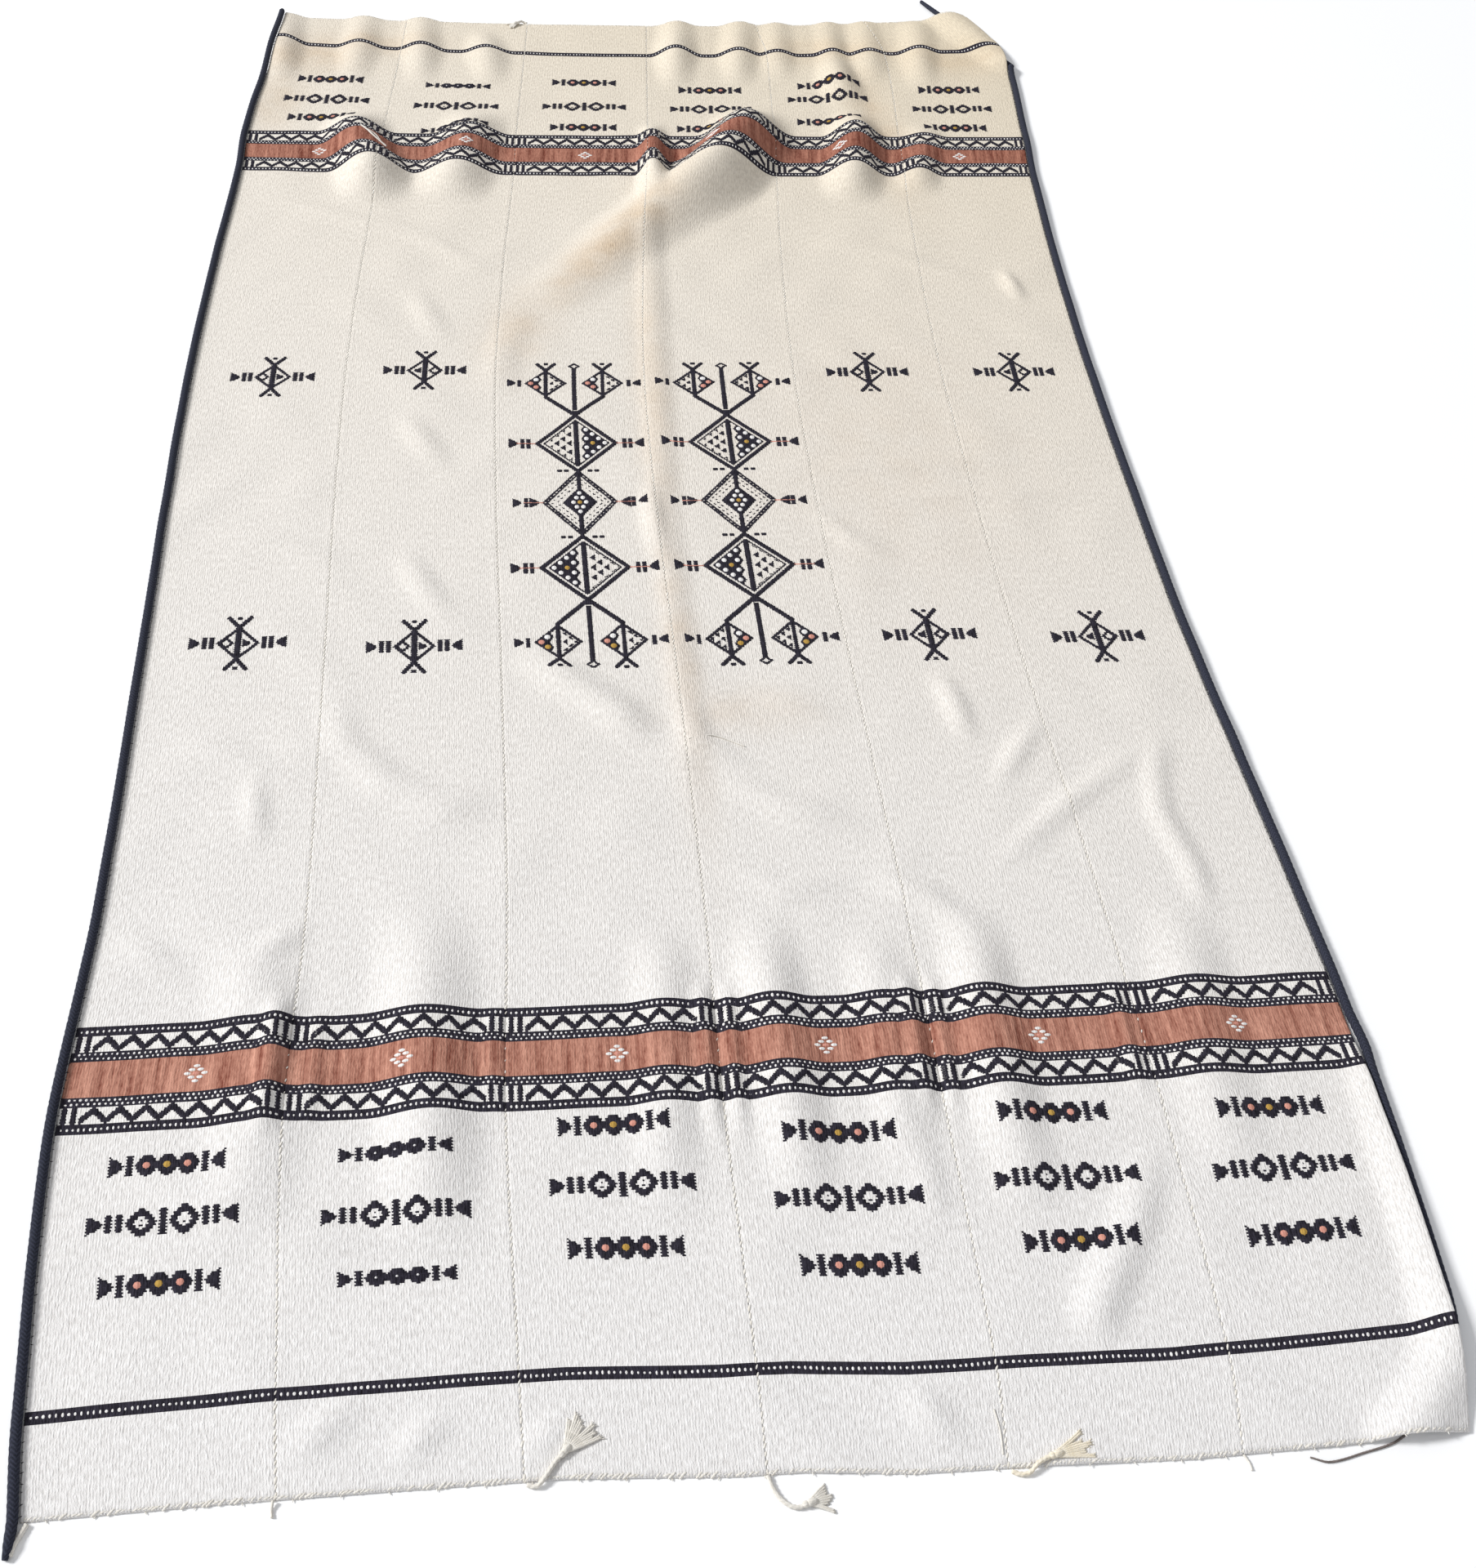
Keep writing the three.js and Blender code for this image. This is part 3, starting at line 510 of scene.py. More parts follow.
# Wool dyed with a plant red: terracotta, with paler and darker ribs where the dye took unevenly, and darker
# and browner towards the far end by painted dimmer, warmer light
red_wool = wool("terracotta_wool", "#d9a28d", "#7a4336", 0.5, 0.0009, painted_light_tint="#b08a76", dyed=1.7)
# Bleached wool kept for the pattern: the whitest yarn in the cloth, tinted towards the far end by painted
# warm light
white_wool = wool("bleached_white_wool", "#fcfbf9", "#d0ccc8", 0.35, 0.0009, painted_light_tint="#efe2c6")


# How strongly painted warm light tints the cloth at its near end, how much more at its far end and on its
# right, and how fast
NEAR_WARMTH = 0.05
FAR_WARMTH = 0.5
RIGHT_WARMTH = 0.12
WARMTH_BEND = 1.2
STAIN_FADE = 1.2


def stain_and_painted_light(across, along):
    """How stained the cloth is at each point, and how strongly painted warm light tints it, from 0 to 1."""
    x, y = plan(across, along)
    stain = np.zeros_like(x)
    for sx, sy, long_half, short_half, turn, strength in STAINS:
        c, s = math.cos(math.radians(turn)), math.sin(math.radians(turn))
        u = ((x - sx) * c + (y - sy) * s) / long_half
        v = ((y - sy) * c - (x - sx) * s) / short_half
        stain = np.maximum(stain, strength * np.exp(-STAIN_FADE * (u * u + v * v)))
    far = np.clip(y / LENGTH, 0, 1)
    right = x / (LENGTH / 4)
    return stain, np.clip(NEAR_WARMTH + FAR_WARMTH * far**WARMTH_BEND + RIGHT_WARMTH * far * right, 0, 1)


def closed_sheet(over, under, rows, columns):
    """The points and faces of a sheet with an upper and a lower side and four edges."""
    count = rows * columns
    top = grid_faces(rows, columns)
    bottom = grid_faces(rows, columns, count)[:, ::-1]
    side = np.arange(rows - 1) * columns
    left = np.stack([side, side + columns, side + columns + count, side + count], axis=1)
    side = side + columns - 1
    right = np.stack([side, side + count, side + columns + count, side + columns], axis=1)
    end = np.arange(columns - 1)
    near = np.stack([end, end + count, end + 1 + count, end + 1], axis=1)
    end = end + (rows - 1) * columns
    far = np.stack([end, end + 1, end + 1 + count, end + count], axis=1)
    points = np.concatenate([over.reshape(-1, 3), under.reshape(-1, 3)])
    return points, [top, bottom, left, right, near, far]


def turned_corner(first):
    """The far right corner, turned under the sixth strip: a round crease and a flap on the floor."""
    share = np.linspace(0, 1, CREASE_ROWS)
    edge_x, edge_y = plan(STRIPS * STRIP_WIDTH, CREASE_FROM + share * (LENGTH - CREASE_FROM))
    radius = (height(edge_x, edge_y) + CLOTH) / 2
    free = np.array(FREE_EDGE[0]) + share[:, None] * np.subtract(FREE_EDGE[1], FREE_EDGE[0])
    over, under = [], []
    for angle in CREASE_ANGLES:
        for side, reach in ((over, radius), (under, np.maximum(radius - CLOTH, CREASE_INSIDE))):
            side.append(np.stack([edge_x - radius + reach * math.cos(angle), edge_y,
                                  radius + reach * math.sin(angle)], axis=-1))
    for part in FLAP_PARTS:
        x = edge_x - radius + part * (free[:, 0] - edge_x + radius)
        y = edge_y + part * (free[:, 1] - edge_y)
        over.append(np.stack([x, y, 0 * x], axis=-1))
        under.append(np.stack([x, y, 0 * x + CLOTH], axis=-1))
    rows, columns = len(share), len(over)
    points, faces = closed_sheet(np.stack(over, axis=1), np.stack(under, axis=1), rows, columns)
    flat = np.stack(np.broadcast_arrays(np.arange(columns) * FLAP_COLUMN + STRIPS * STRIP_WIDTH,
                                        CREASE_FROM + share[:, None] * FLAP_WIDE), axis=-1).reshape(-1, 2)
    return points, [face + first for face in faces], np.concatenate([flat, flat])


inner_places = np.linspace(SELVEDGE[-1][0], STRIP_WIDTH - SELVEDGE[-1][0], COLUMNS)[1:-1]
edge_places = np.array([place for place, _ in SELVEDGE])
strip_places = np.concatenate([edge_places, inner_places, STRIP_WIDTH - edge_places[::-1]])
edge_depths = np.array([share for _, share in SELVEDGE])
strip_depths = np.concatenate([edge_depths, np.ones(len(inner_places)), edge_depths[::-1]])

for number in range(STRIPS):
    first_place = number * STRIP_WIDTH + (GAP / 2 if number > 0 else 0)
    last_place = (number + 1) * STRIP_WIDTH - (GAP / 2 if number < STRIPS - 1 else 0)
    places = first_place + strip_places * (last_place - first_place) / STRIP_WIDTH
    across, along = np.meshgrid(places, ROWS)
    if number == STRIPS - 1:
        # Over the turned corner the sheet ends where the crease begins to curve down
        past = np.clip((along - CREASE_FROM) / CREASE_EASE, 0, 1)
        across = first_place + (across - first_place) * (1 - past * CREASE_CUT / STRIP_WIDTH)
    x, y = plan(across, along)
    low = height(x, y)
    over = np.stack([x, y, low + depth(x, y) * strip_depths], axis=-1)
    under = np.stack([x, y, low], axis=-1)
    points, faces = closed_sheet(over, under, len(ROWS), len(places))
    row_grounds = np.array(ROW_GROUNDS)
    across_faces = np.repeat(row_grounds, len(places) - 1)
    ends = np.zeros(len(places) - 1, dtype=int)
    slots = np.concatenate([across_faces, across_faces, row_grounds, row_grounds, ends, ends])
    flat = np.stack([across.ravel(), along.ravel()], axis=-1)
    uv = np.concatenate([flat, flat])
    if number == STRIPS - 1:
        corner_points, corner_faces, corner_uv = turned_corner(len(points))
        points = np.concatenate([points, corner_points])
        faces += corner_faces
        slots = np.concatenate([slots, np.zeros(sum(len(face) for face in corner_faces), dtype=int)])
        uv = np.concatenate([uv, corner_uv])
    strip = cloth_object(f"woven_strip_{number + 1}", points, np.concatenate(faces),
                         [cream_wool, dark_wool, red_wool, white_wool], slots, uv)
    stain, painted_warm_light = stain_and_painted_light(uv[:, 0], uv[:, 1])
    for name, values in (("stain", stain), ("painted_warm_light", painted_warm_light)):
        strip.data.attributes.new(name, "FLOAT", "POINT").data.foreach_set("value", values)
    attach(strip, "root")
    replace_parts(strip, f"strip_{number + 1}")


# Pattern yarns
# Extra wool yarns woven in over the ground, each pick lying a little proud: the dotted and zigzag
# stripes of the bands, the rows of small motifs, the eight crosses and the two diamond columns.
PICK = 1.65
YARN_PROUD = 0.5
YARN_SUNK = -0.25
# Half a yarn's width as shares of a pick, at its foot and at its top: picks overlap their neighbours
YARN_FOOT = 0.72
YARN_TOP = 0.3
YARN_ENDS = 0.5
YARN_UNEVEN = 0.35
SAMPLE = 0.6
LONGEST_PIECE = 9.0
PATTERN_SEED = 11
# A patch of yarn narrows to this share at its top, and its foot is sunk a little into the cloth
OVAL_TOP = 0.72
OVAL_SUNK = -0.1
# How far on the strip, before and past a place on the floor, the cloth that hides it is looked for
SEARCH_STEP = 2.0
SEARCH_BEFORE = 66
SEARCH_PAST = 40
SEARCH_EDGE = 4
SPEAR_BEND = 0.6
EYE = np.array(CAMERA_AT) * 1000 - LAYOUT_TO_FRAME


class Yarns:
    """The picks of pattern yarn of one piece, gathered and then made one mesh."""

    def __init__(self):
        self.sections = []
        self.faces = []
        self.count = 0

    def run(self, along, start, end):
        """One pick over the ground, from start to end across, rounded and dipping in at its ends."""
        pieces = max(1, math.ceil((end - start) / LONGEST_PIECE))
        inside = np.linspace(start + YARN_ENDS, end - YARN_ENDS, pieces + 1)
        places = np.concatenate([[start], inside, [end]])
        high = np.full(len(places), YARN_PROUD)
        high[[0, -1]] = YARN_SUNK
        offsets = np.array([-YARN_FOOT, -YARN_TOP, YARN_TOP, YARN_FOOT]) * PICK
        rise = np.array([0, 1, 1, 0])
        block = np.empty((len(places), 4, 3))
        block[..., 0] = places[:, None]
        block[..., 1] = along + offsets
        block[..., 2] = np.where(rise > 0, high[:, None], YARN_SUNK)
        self.sections.append(block.reshape(-1, 3))
        self.faces.append(grid_faces(len(places), 4, self.count)[:, ::-1])
        self.count += block.shape[0] * 4

    def chart(self, inside, across, along, half_wide, low, high, fringe):
        """The picks of a motif. Inside says which places about its middle are dark."""
        picks = np.arange(low + PICK / 2, high, PICK)
        places = np.arange(-half_wide, half_wide + SAMPLE, SAMPLE)
        s, v = np.meshgrid(places, picks)
        dark = np.pad(inside(s, v).astype(int), ((0, 0), (1, 1)))
        change = np.diff(dark, axis=1)
        rows, starts = np.nonzero(change == 1)
        ends = np.nonzero(change == -1)[1]
        for row, start, end in zip(rows, starts, ends):
            # Every other pick reaches further, which gives the motifs their ragged outline
            reach = fringe if row % 2 == 1 else -0.5 * fringe
            reach += chance.uniform(-YARN_UNEVEN, YARN_UNEVEN)
            left, right = places[start] - reach, places[end - 1] + SAMPLE + reach
            if right - left > 2 * YARN_ENDS + 0.2:
                self.run(along + picks[row], across + left, across + right)

    def make(self, name, material):
        """All the picks as one piece of the cloth."""
        across, along, proud = np.concatenate(self.sections).T
        made = cloth_object(name, surface(across, along, proud), np.concatenate(self.faces),
                            [material], uv=np.stack([across, along], axis=-1))
        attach(made, "root")
        return made


def ovals(name, rows, materials, sides):
    """Small rounded patches of yarn: across, along, half sizes across and along, height, material."""
    rows = np.array(rows, float)
    turn = np.arange(sides) * 2 * math.pi / sides
    ring = np.concatenate([np.stack([np.cos(turn), np.sin(turn)], axis=1),
                           OVAL_TOP * np.stack([np.cos(turn), np.sin(turn)], axis=1)])
    raised = np.repeat([0.0, 1.0], sides)
    across = rows[:, None, 0] + ring[:, 0] * rows[:, None, 2]
    along = rows[:, None, 1] + ring[:, 1] * rows[:, None, 3]
    proud = OVAL_SUNK + raised * (rows[:, None, 4] - OVAL_SUNK)
    faces, slots = [], []
    for number, row in enumerate(rows):
        first = number * 2 * sides
        for k in range(sides):
            after = (k + 1) % sides
            faces.append((first + k, first + after, first + sides + after, first + sides + k))
        faces.append(tuple(range(first + sides, first + 2 * sides)))
        slots += [int(row[5])] * (sides + 1)
    uv = np.stack([across.ravel(), along.ravel()], axis=-1)
    made = cloth_object(name, surface(uv[:, 0], uv[:, 1], proud.ravel()), faces, materials, slots, uv)
    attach(made, "root")
    return made


def found(number, x, y):
    """The place on a strip that the camera sees against the floor at X, Y."""
    across, along = np.meshgrid(
        np.arange(SEARCH_EDGE, STRIP_WIDTH, SEARCH_STEP) + number * STRIP_WIDTH,
        np.arange(y - SEARCH_BEFORE, y + SEARCH_PAST, SEARCH_STEP))
    px, py = plan(across, along)
    share = EYE[2] / (EYE[2] - height(px, py) - CLOTH)
    away = np.hypot(EYE[0] + (px - EYE[0]) * share - x, EYE[1] + (py - EYE[1]) * share - y)
    best = np.unravel_index(np.argmin(away), away.shape)
    return across[best], along[best]


def spear(s, v, tip, reach, half_high):
    """A solid spearhead on each side, its tip towards the middle."""
    share = np.clip((np.abs(s) - tip) / reach, 0, 1)
    return (np.abs(s) > tip) & (np.abs(s) < tip + reach) & (np.abs(v) < half_high * share**SPEAR_BEND)


def bars(s, v, places, half_wide, half_high):
    """Upright bars at the same places on both sides."""
    return np.logical_or.reduce([(np.abs(np.abs(s) - place) < half_wide) & (np.abs(v) < half_high)
                                 for place in places])


def lozenge(s, v, wide, high):
    """Below one inside a lozenge of these half sizes."""
    return np.abs(s) / wide + np.abs(v) / high


def stroke(s, v, start, end, half):
    """A straight line of yarn between two places."""
    along_s, along_v = end[0] - start[0], end[1] - start[1]
    t = ((s - start[0]) * along_s + (v - start[1]) * along_v) / (along_s**2 + along_v**2)
    t = np.clip(t, 0, 1)
    return np.hypot(s - start[0] - t * along_s, v - start[1] - t * along_v) < half


chance = np.random.default_rng(PATTERN_SEED)
WHITE, SALMON, OCHRE, CREAM_DOT = 0, 1, 2, 3

# The bands' zigzags: the middle of their stripe, the line's reach and half depth, where it ends on
# either side of the strip's middle, and the two bars beyond it
ZIGZAG_PERIOD = 24.4
ZIGZAG_MIDDLE = 9
ZIGZAG_REACH = 6.2
ZIGZAG_HALF = 4.4
ZIGZAG_END = 86
ZIGZAG_BARS = ((91, 100), 2.5, 9)
ZIGZAG_FRINGE = 0.35
CHART_HALF = 103
# The rows of dots in the bands and in the thin lines at the ends: share of the stripe's depth and
# shift by pitches for each row, and the half height of a dot
DOT_PITCH = 5.25
DOTS = 39
DOT_HALF_WIDE = 1.5
DOT_PROUD = 0.3
DOT_WAVE = 0.5
DOT_ROWS = {"one row of dots": (((0.5, 0),), 2.3), "two rows of dots": (((0.29, 0), (0.71, 0.5)), 1.7)}
zigzags = Yarns()
dots = []


def zigzag(s, v):
    """A line that runs up and down, with two bars at each side of the strip."""
    rise = np.abs(((s / ZIGZAG_PERIOD + 0.5) % 1) - 0.5) * 2
    line = np.abs(v - ZIGZAG_MIDDLE - ZIGZAG_REACH * (1 - 2 * rise)) < ZIGZAG_HALF
    return (line & (np.abs(s) < ZIGZAG_END)) | bars(s, v - ZIGZAG_MIDDLE, *ZIGZAG_BARS)


for number in range(STRIPS):
    centre = (number + 0.5) * STRIP_WIDTH
    for start, end, kind in WOVEN_PARTS:
        if kind == "zigzag":
            zigzags.chart(zigzag, centre, start, CHART_HALF, 0, end - start, ZIGZAG_FRINGE)
        dot_rows, half_high = DOT_ROWS.get(kind, ((), 0))
        for share, shift in dot_rows:
            wave = chance.uniform(0, 2 * math.pi)
            for k in range(DOTS):
                across = centre + (k - DOTS // 2 + shift) * DOT_PITCH + chance.uniform(-0.4, 0.4)
                along = start + share * (end - start) + DOT_WAVE * math.sin(k / 3 + wave)
                size, tall = chance.uniform(0.6, 1.05), chance.uniform(0.55, 1.0)
                dots.append((across, along, DOT_HALF_WIDE * size, half_high * tall, DOT_PROUD, WHITE))
zigzags.make("zigzag_yarns", dark_wool)

# The lozenge of small white ovals in the middle of each red stripe: along, and how many in the row
RED_ROWS = ((-8.4, 1), (-4.2, 2), (0, 3), (4.2, 2), (8.4, 1))
RED_PITCH = 8.2
RED_OVAL = (3.5, 1.9, 0.5)
# How far from the middle of its strip each one lies: near band, then far band
RED_SHIFTS = ((18, 5, 5, 0, 2, -8), (10, 30, 6, 0, 0, -8))
for (band_from, band_to), shifts in zip(BANDS, RED_SHIFTS):
    for number, shift in enumerate(shifts):
        for along_shift, count in RED_ROWS:
            for k in range(count):
                across = (number + 0.5) * STRIP_WIDTH + shift + (k - (count - 1) / 2) * RED_PITCH
                tint = SALMON if along_shift == 0 and k == 1 else WHITE
                dots.append((across, (band_from + band_to) / 2 + along_shift, *RED_OVAL, tint))

# The rows of small motifs. X and Y of each motif's middle, strip by strip from the left.
LINKED_ROWS = (
    ((-534, 325), (-322, 329), (-115, 346), (100, 326), (314, 338), (532, 333)),
    ((-525, 204), (-316, 200), (-108, 217), (104, 187), (316, 201), (528, 198)),
    ((-515, 2372), (-304, 2353), (-93, 2366), (118, 2342), (328, 2384), (530, 2350)),
    ((-523, 2245), (-309, 2230), (-98, 2218), (110, 2223), (311, 2243), (522, 2222)),
)
OPEN_ROWS = (
    ((-531, 266), (-320, 264), (-110, 281), (102, 256), (314, 266), (528, 265)),
    ((-518, 2306), (-307, 2285), (-95, 2286), (115, 2280), (319, 2320), (526, 2285)),
)
# Lines and lozenges by half width and half height, bars by places, half width and half height, and
# spearheads by tip, reach and half height. A rounded lozenge's power is 1 for straight sides.
LINK_PITCH = 18.7
LINK_LINE = (29, 2.2)
LINK_LOZENGE = (9.8, 12, 1.6)
LINK_BARS = ((34.5,), 3.2, 10.5)
LINK_SPEAR = (40, 13, 10.5)
LINK_CHART = (54, -12, 12, 0.9)
LINK_SPOT = (4.2, 4.3, 0.85)
# The second strip's linked lozenges are lower, and their spots small and cream
SMALL_LINKED_STRIP = 1
SMALL_SQUEEZE = 0.72
SMALL_SPOT = (1.5, 1.3, 0.85)
OPEN_MIDDLE = 19.5
OPEN_LOZENGE = (14, 15, 1.25)
OPEN_RING_FROM = 0.4
OPEN_HEART = 0.14
OPEN_BAR = (3.3, 13.5)
OPEN_BARS = ((39, 48.5), 3.0, 9)
OPEN_SPEAR = (54, 14, 9.5)
OPEN_CHART = (70, -15, 15, 0.9)


def rounded(s, v, wide, high, power):
    """Below one inside a lozenge with rounded sides."""
    return (np.abs(s) / wide) ** power + (np.abs(v) / high) ** power


def box(s, v, wide, high):
    """A bar about the middle."""
    return (np.abs(s) < wide) & (np.abs(v) < high)


def linked_lozenges(s, v):
    """Three dark lozenges in a row, joined by a line, with a bar and a spearhead on each side."""
    shape = box(s, v, *LINK_LINE)
    for place in (-LINK_PITCH, 0, LINK_PITCH):
        shape |= rounded(s - place, v, *LINK_LOZENGE) < 1
    return shape | bars(s, v, *LINK_BARS) | spear(s, v, *LINK_SPEAR)


def open_diamonds(s, v):
    """Two open diamonds about a tall bar, with two bars and a spearhead on each side."""
    out = rounded(np.abs(s) - OPEN_MIDDLE, v, *OPEN_LOZENGE)
    shape = ((out < 1) & (out > OPEN_RING_FROM)) | ((out < OPEN_HEART) & (np.abs(v) > 1))
    return shape | box(s, v, *OPEN_BAR) | bars(s, v, *OPEN_BARS) | spear(s, v, *OPEN_SPEAR)


motifs = Yarns()
for row in LINKED_ROWS:
    for number, (x, y) in enumerate(row):
        across, along = found(number, x, y)
        small = number == SMALL_LINKED_STRIP
        squeeze = SMALL_SQUEEZE if small else 1.0
        motifs.chart(lambda s, v: linked_lozenges(s, v / squeeze), across, along, *LINK_CHART)
        for place, tint in ((-LINK_PITCH, SALMON), (0, OCHRE), (LINK_PITCH, SALMON)):
            spot = (*SMALL_SPOT, CREAM_DOT) if small else (*LINK_SPOT, tint)
            dots.append((across + place, along, *spot))
for row in OPEN_ROWS:
    for number, (x, y) in enumerate(row):
        across, along = found(number, x, y)
        motifs.chart(open_diamonds, across, along, *OPEN_CHART)
motifs.make("small_motif_yarns", dark_wool)

# The crosses: strip, X and Y of the middle, and the side on which the small open diamond lies
CROSSES = (
    (0, -540, 1545, -1), (1, -334, 1558, 1), (4, 287, 1548, -1), (5, 498, 1545, 1),
    (0, -536, 1022, -1), (1, -330, 1010, -1), (4, 295, 1014, 1), (5, 504, 1004, 1),
)


# Half sizes of the diamond and of the small open one, and where their lines begin
CROSS_DIAMOND = (26, 29)
CROSS_LINE_FROM = 0.78
CROSS_BAR = (3.8, 29)
CROSS_OPEN_AT = 14
CROSS_OPEN = (10, 11)
CROSS_OPEN_FROM = 0.48
# The small wedge on the other side: its place, half width, half height and slope
CROSS_WEDGE = (10, 4.8, 4.4, 0.5)
# Forks: end, spread of the arms. Then where they start and end, their half width, and the spot's place
CROSS_FORKS = ((1, 13), (-1, 12))
FORK_FROM, FORK_TO, FORK_HALF = 27, 43, 2.9
FORK_SPOT_AT = 42
FORK_SPOT = (3.0, 2.7)
CROSS_BARS = ((31, 39.5), 3.0, 10)
CROSS_SPEAR = (45, 13, 10)
CROSS_CHART = (60, -46, 46, 0.6)


def cross(s, v, side):
    """A diamond with a thick bar, a fork at each end, and bars and a spearhead on each side."""
    out = lozenge(s, v, *CROSS_DIAMOND)
    shape = (out < 1) & (out > CROSS_LINE_FROM)
    shape |= box(s, v, *CROSS_BAR)
    open_out = lozenge(s - side * CROSS_OPEN_AT, v, *CROSS_OPEN)
    shape |= (open_out < 1) & (open_out > CROSS_OPEN_FROM)
    wedge_at, wide, high, slope = CROSS_WEDGE
    from_wedge = s + side * wedge_at
    shape |= (np.abs(from_wedge) < wide) & (np.abs(v) < high + slope * side * from_wedge)
    for end, spread in CROSS_FORKS:
        for arm in (-1, 1):
            shape |= stroke(s, v, (0, end * FORK_FROM), (arm * spread, end * FORK_TO), FORK_HALF)
        shape |= box(s, v - end * FORK_SPOT_AT, *FORK_SPOT)
    return shape | bars(s, v, *CROSS_BARS) | spear(s, v, *CROSS_SPEAR)


crosses = Yarns()
for number, x, y, side in CROSSES:
    across, along = found(number, x, y)
    crosses.chart(lambda s, v: cross(s, v, side), across, along, *CROSS_CHART)
crosses.make("cross_yarns", dark_wool)

# The two columns of diamonds, on the strips beside the middle seam: strip, X and Y of the middle, and
# the side of the ovals in the small diamonds. Then where the diamonds meet, along from the middle.
COLUMNS_OF_DIAMONDS = ((2, -125, 1270, -1), (3, 80, 1270, 1))
JOINT = 65.5
OUTER_JOINT = 183
COLUMN_CHART = (101, -306, 306, 0.35)
# Middle, half width and half height of each large diamond, and its lines as shares of those
FAR_DIAMOND = (123.5, 57.5, 63)
MIDDLE_DIAMOND = (1.5, 50, 67)
NEAR_DIAMOND = (-124, 59.5, 64)
LARGE_LINE = (1, 0.855)
LARGE_SECOND_LINE = (0.79, 0.735)
LARGE_BAR = 3.6
# Bars and a spearhead past a diamond's corner: distances, then half sizes
LARGE_BARS = ((8, 16), 2.9, 10)
LARGE_SPEAR = (22, 13, 10)
# Small triangles: pitches, first and last share of a pitch, slope, and the place that they keep to
TRIANGLE_ACROSS = 8.6
TRIANGLE_ALONG = 18.4
TRIANGLE_SHARES = (0.1, 0.94)
TRIANGLE_SLOPE = 0.36
LARGE_TRIANGLES = (0.72, 4.5, 10)
SMALL_TRIANGLES = (0.78, 3.8, 7.8, 0.8)
# The dark ground of the ovals ends beside the bar in a row of points: nearest place, and depth
LARGE_POINTS = (6.5, 5)
SMALL_POINTS = (5.5, 5)
# The middle diamond: a line with white specks along it, two rows of dashes and a dark heart
MIDDLE_LINE = (1, 0.835)
MIDDLE_BAR = 3.0
SPECKS = (0.915, 0.016)
SPECK_WAVE = 1.2
DASH = 3.3
DASH_ROWS = ((0.75, 0), (0.61, 1))
DASH_HALF = 0.02
HEART = 0.46
MIDDLE_SPEARS = ((4, 13, 10), (27, 12, 9))
MIDDLE_BARS = ((21,), 2.9, 9)
# The short bars beside each joint, and the stem with its open end and the gap near its foot
JOINT_BARS = ((16, 25), 3.2, 2.4)
STEM_END = 290
STEM_HALF = 3.3
STEM_OVERLAP = 4
STEM_GAP = (10, 2.6, 1.0)
FINIAL = (5, 9.4, 7.5)
FINIAL_LINE = (1, 0.45)
# The small diamonds: middle across and along, half width and half height, then their details
FISH = (40, 256, 30, 31)
FISH_ARM = 3.4
FISH_LINE = (1, 0.8)
FISH_BAR = 2.9
FISH_DARK = 0.9
FISH_FORK = (12, 13, 2.9)
FISH_SPOT = (3.2, 2.8)
FISH_BARS = ((7,), 2.9, 8)
FISH_SPEAR = (12, 12, 8)


def ring(out, line):
    """The line of a diamond between two shares of its size."""
    return (out < line[0]) & (out > line[1])


def bars_past(s, v, corner, sizes):
    """Bars past a diamond's corners."""
    places, half_wide, half_high = sizes
    return bars(s, v, [corner + place for place in places], half_wide, half_high)


def spear_past(s, v, corner, sizes):
    """Spearheads past a diamond's corners."""
    return spear(s, v, corner + sizes[0], *sizes[1:])


def points_from(v, nearest, deep):
    """Where the dark ground begins, in a row of points."""
    return nearest + deep * (np.abs(v / TRIANGLE_ALONG % 1 - 0.5) * 2)


def little_triangles(s, v, first, scale=1.0):
    """Small dark triangles with their tips to the left, in columns from the first one's place."""
    pitch = TRIANGLE_ACROSS * scale
    column = np.round((np.abs(s) - first) / pitch)
    a = (s - np.sign(s) * (first + column * pitch)) / pitch + 0.5
    b = np.abs((v / (TRIANGLE_ALONG * scale) + 0.5 + 0.5 * (column % 2)) % 1 - 0.5)
    tip, base = TRIANGLE_SHARES
    return (column >= 0) & (a > tip) & (a < base) & (b < TRIANGLE_SLOPE * a)


def large_diamond(s, v, size, oval_side):
    """Half of it is dark, for white ovals, and half has small triangles, with a bar between them."""
    middle, wide, high = size
    v = v - middle
    out = lozenge(s, v, wide, high)
    outer, inner = LARGE_SECOND_LINE
    shape = ring(out, LARGE_LINE) | ring(out, LARGE_SECOND_LINE)
    shape |= (np.abs(s) < LARGE_BAR) & (out < outer)
    shape |= (out < inner) & (s * oval_side > points_from(v, *LARGE_POINTS))
    within, beyond, first = LARGE_TRIANGLES
    shape |= (out < within) & (s * oval_side < -beyond) & little_triangles(s, v, first)
    return shape | bars_past(s, v, wide, LARGE_BARS) | spear_past(s, v, wide, LARGE_SPEAR)


def middle_diamond(s, v):
    """A speckled line, two rows of dashes and a dark heart for its ovals."""
    middle, wide, high = MIDDLE_DIAMOND
    out = lozenge(s, v - middle, wide, high)
    speck_at, speck_half = SPECKS
    specks = (np.abs(out - speck_at) < speck_half) & (np.sin(v * SPECK_WAVE) > 0.1) & (np.abs(s) > 5)
    shape = ring(out, MIDDLE_LINE) & ~specks
    for place, turn in DASH_ROWS:
        shape |= (np.abs(out - place) < DASH_HALF) & (np.floor(v / DASH) % 2 == turn)
    shape |= out < HEART
    shape |= (np.abs(s) < MIDDLE_BAR) & (out < 1)
    for sizes in MIDDLE_SPEARS:
        shape |= spear_past(s, v - middle, wide, sizes)
    return shape | bars_past(s, v - middle, wide, MIDDLE_BARS)


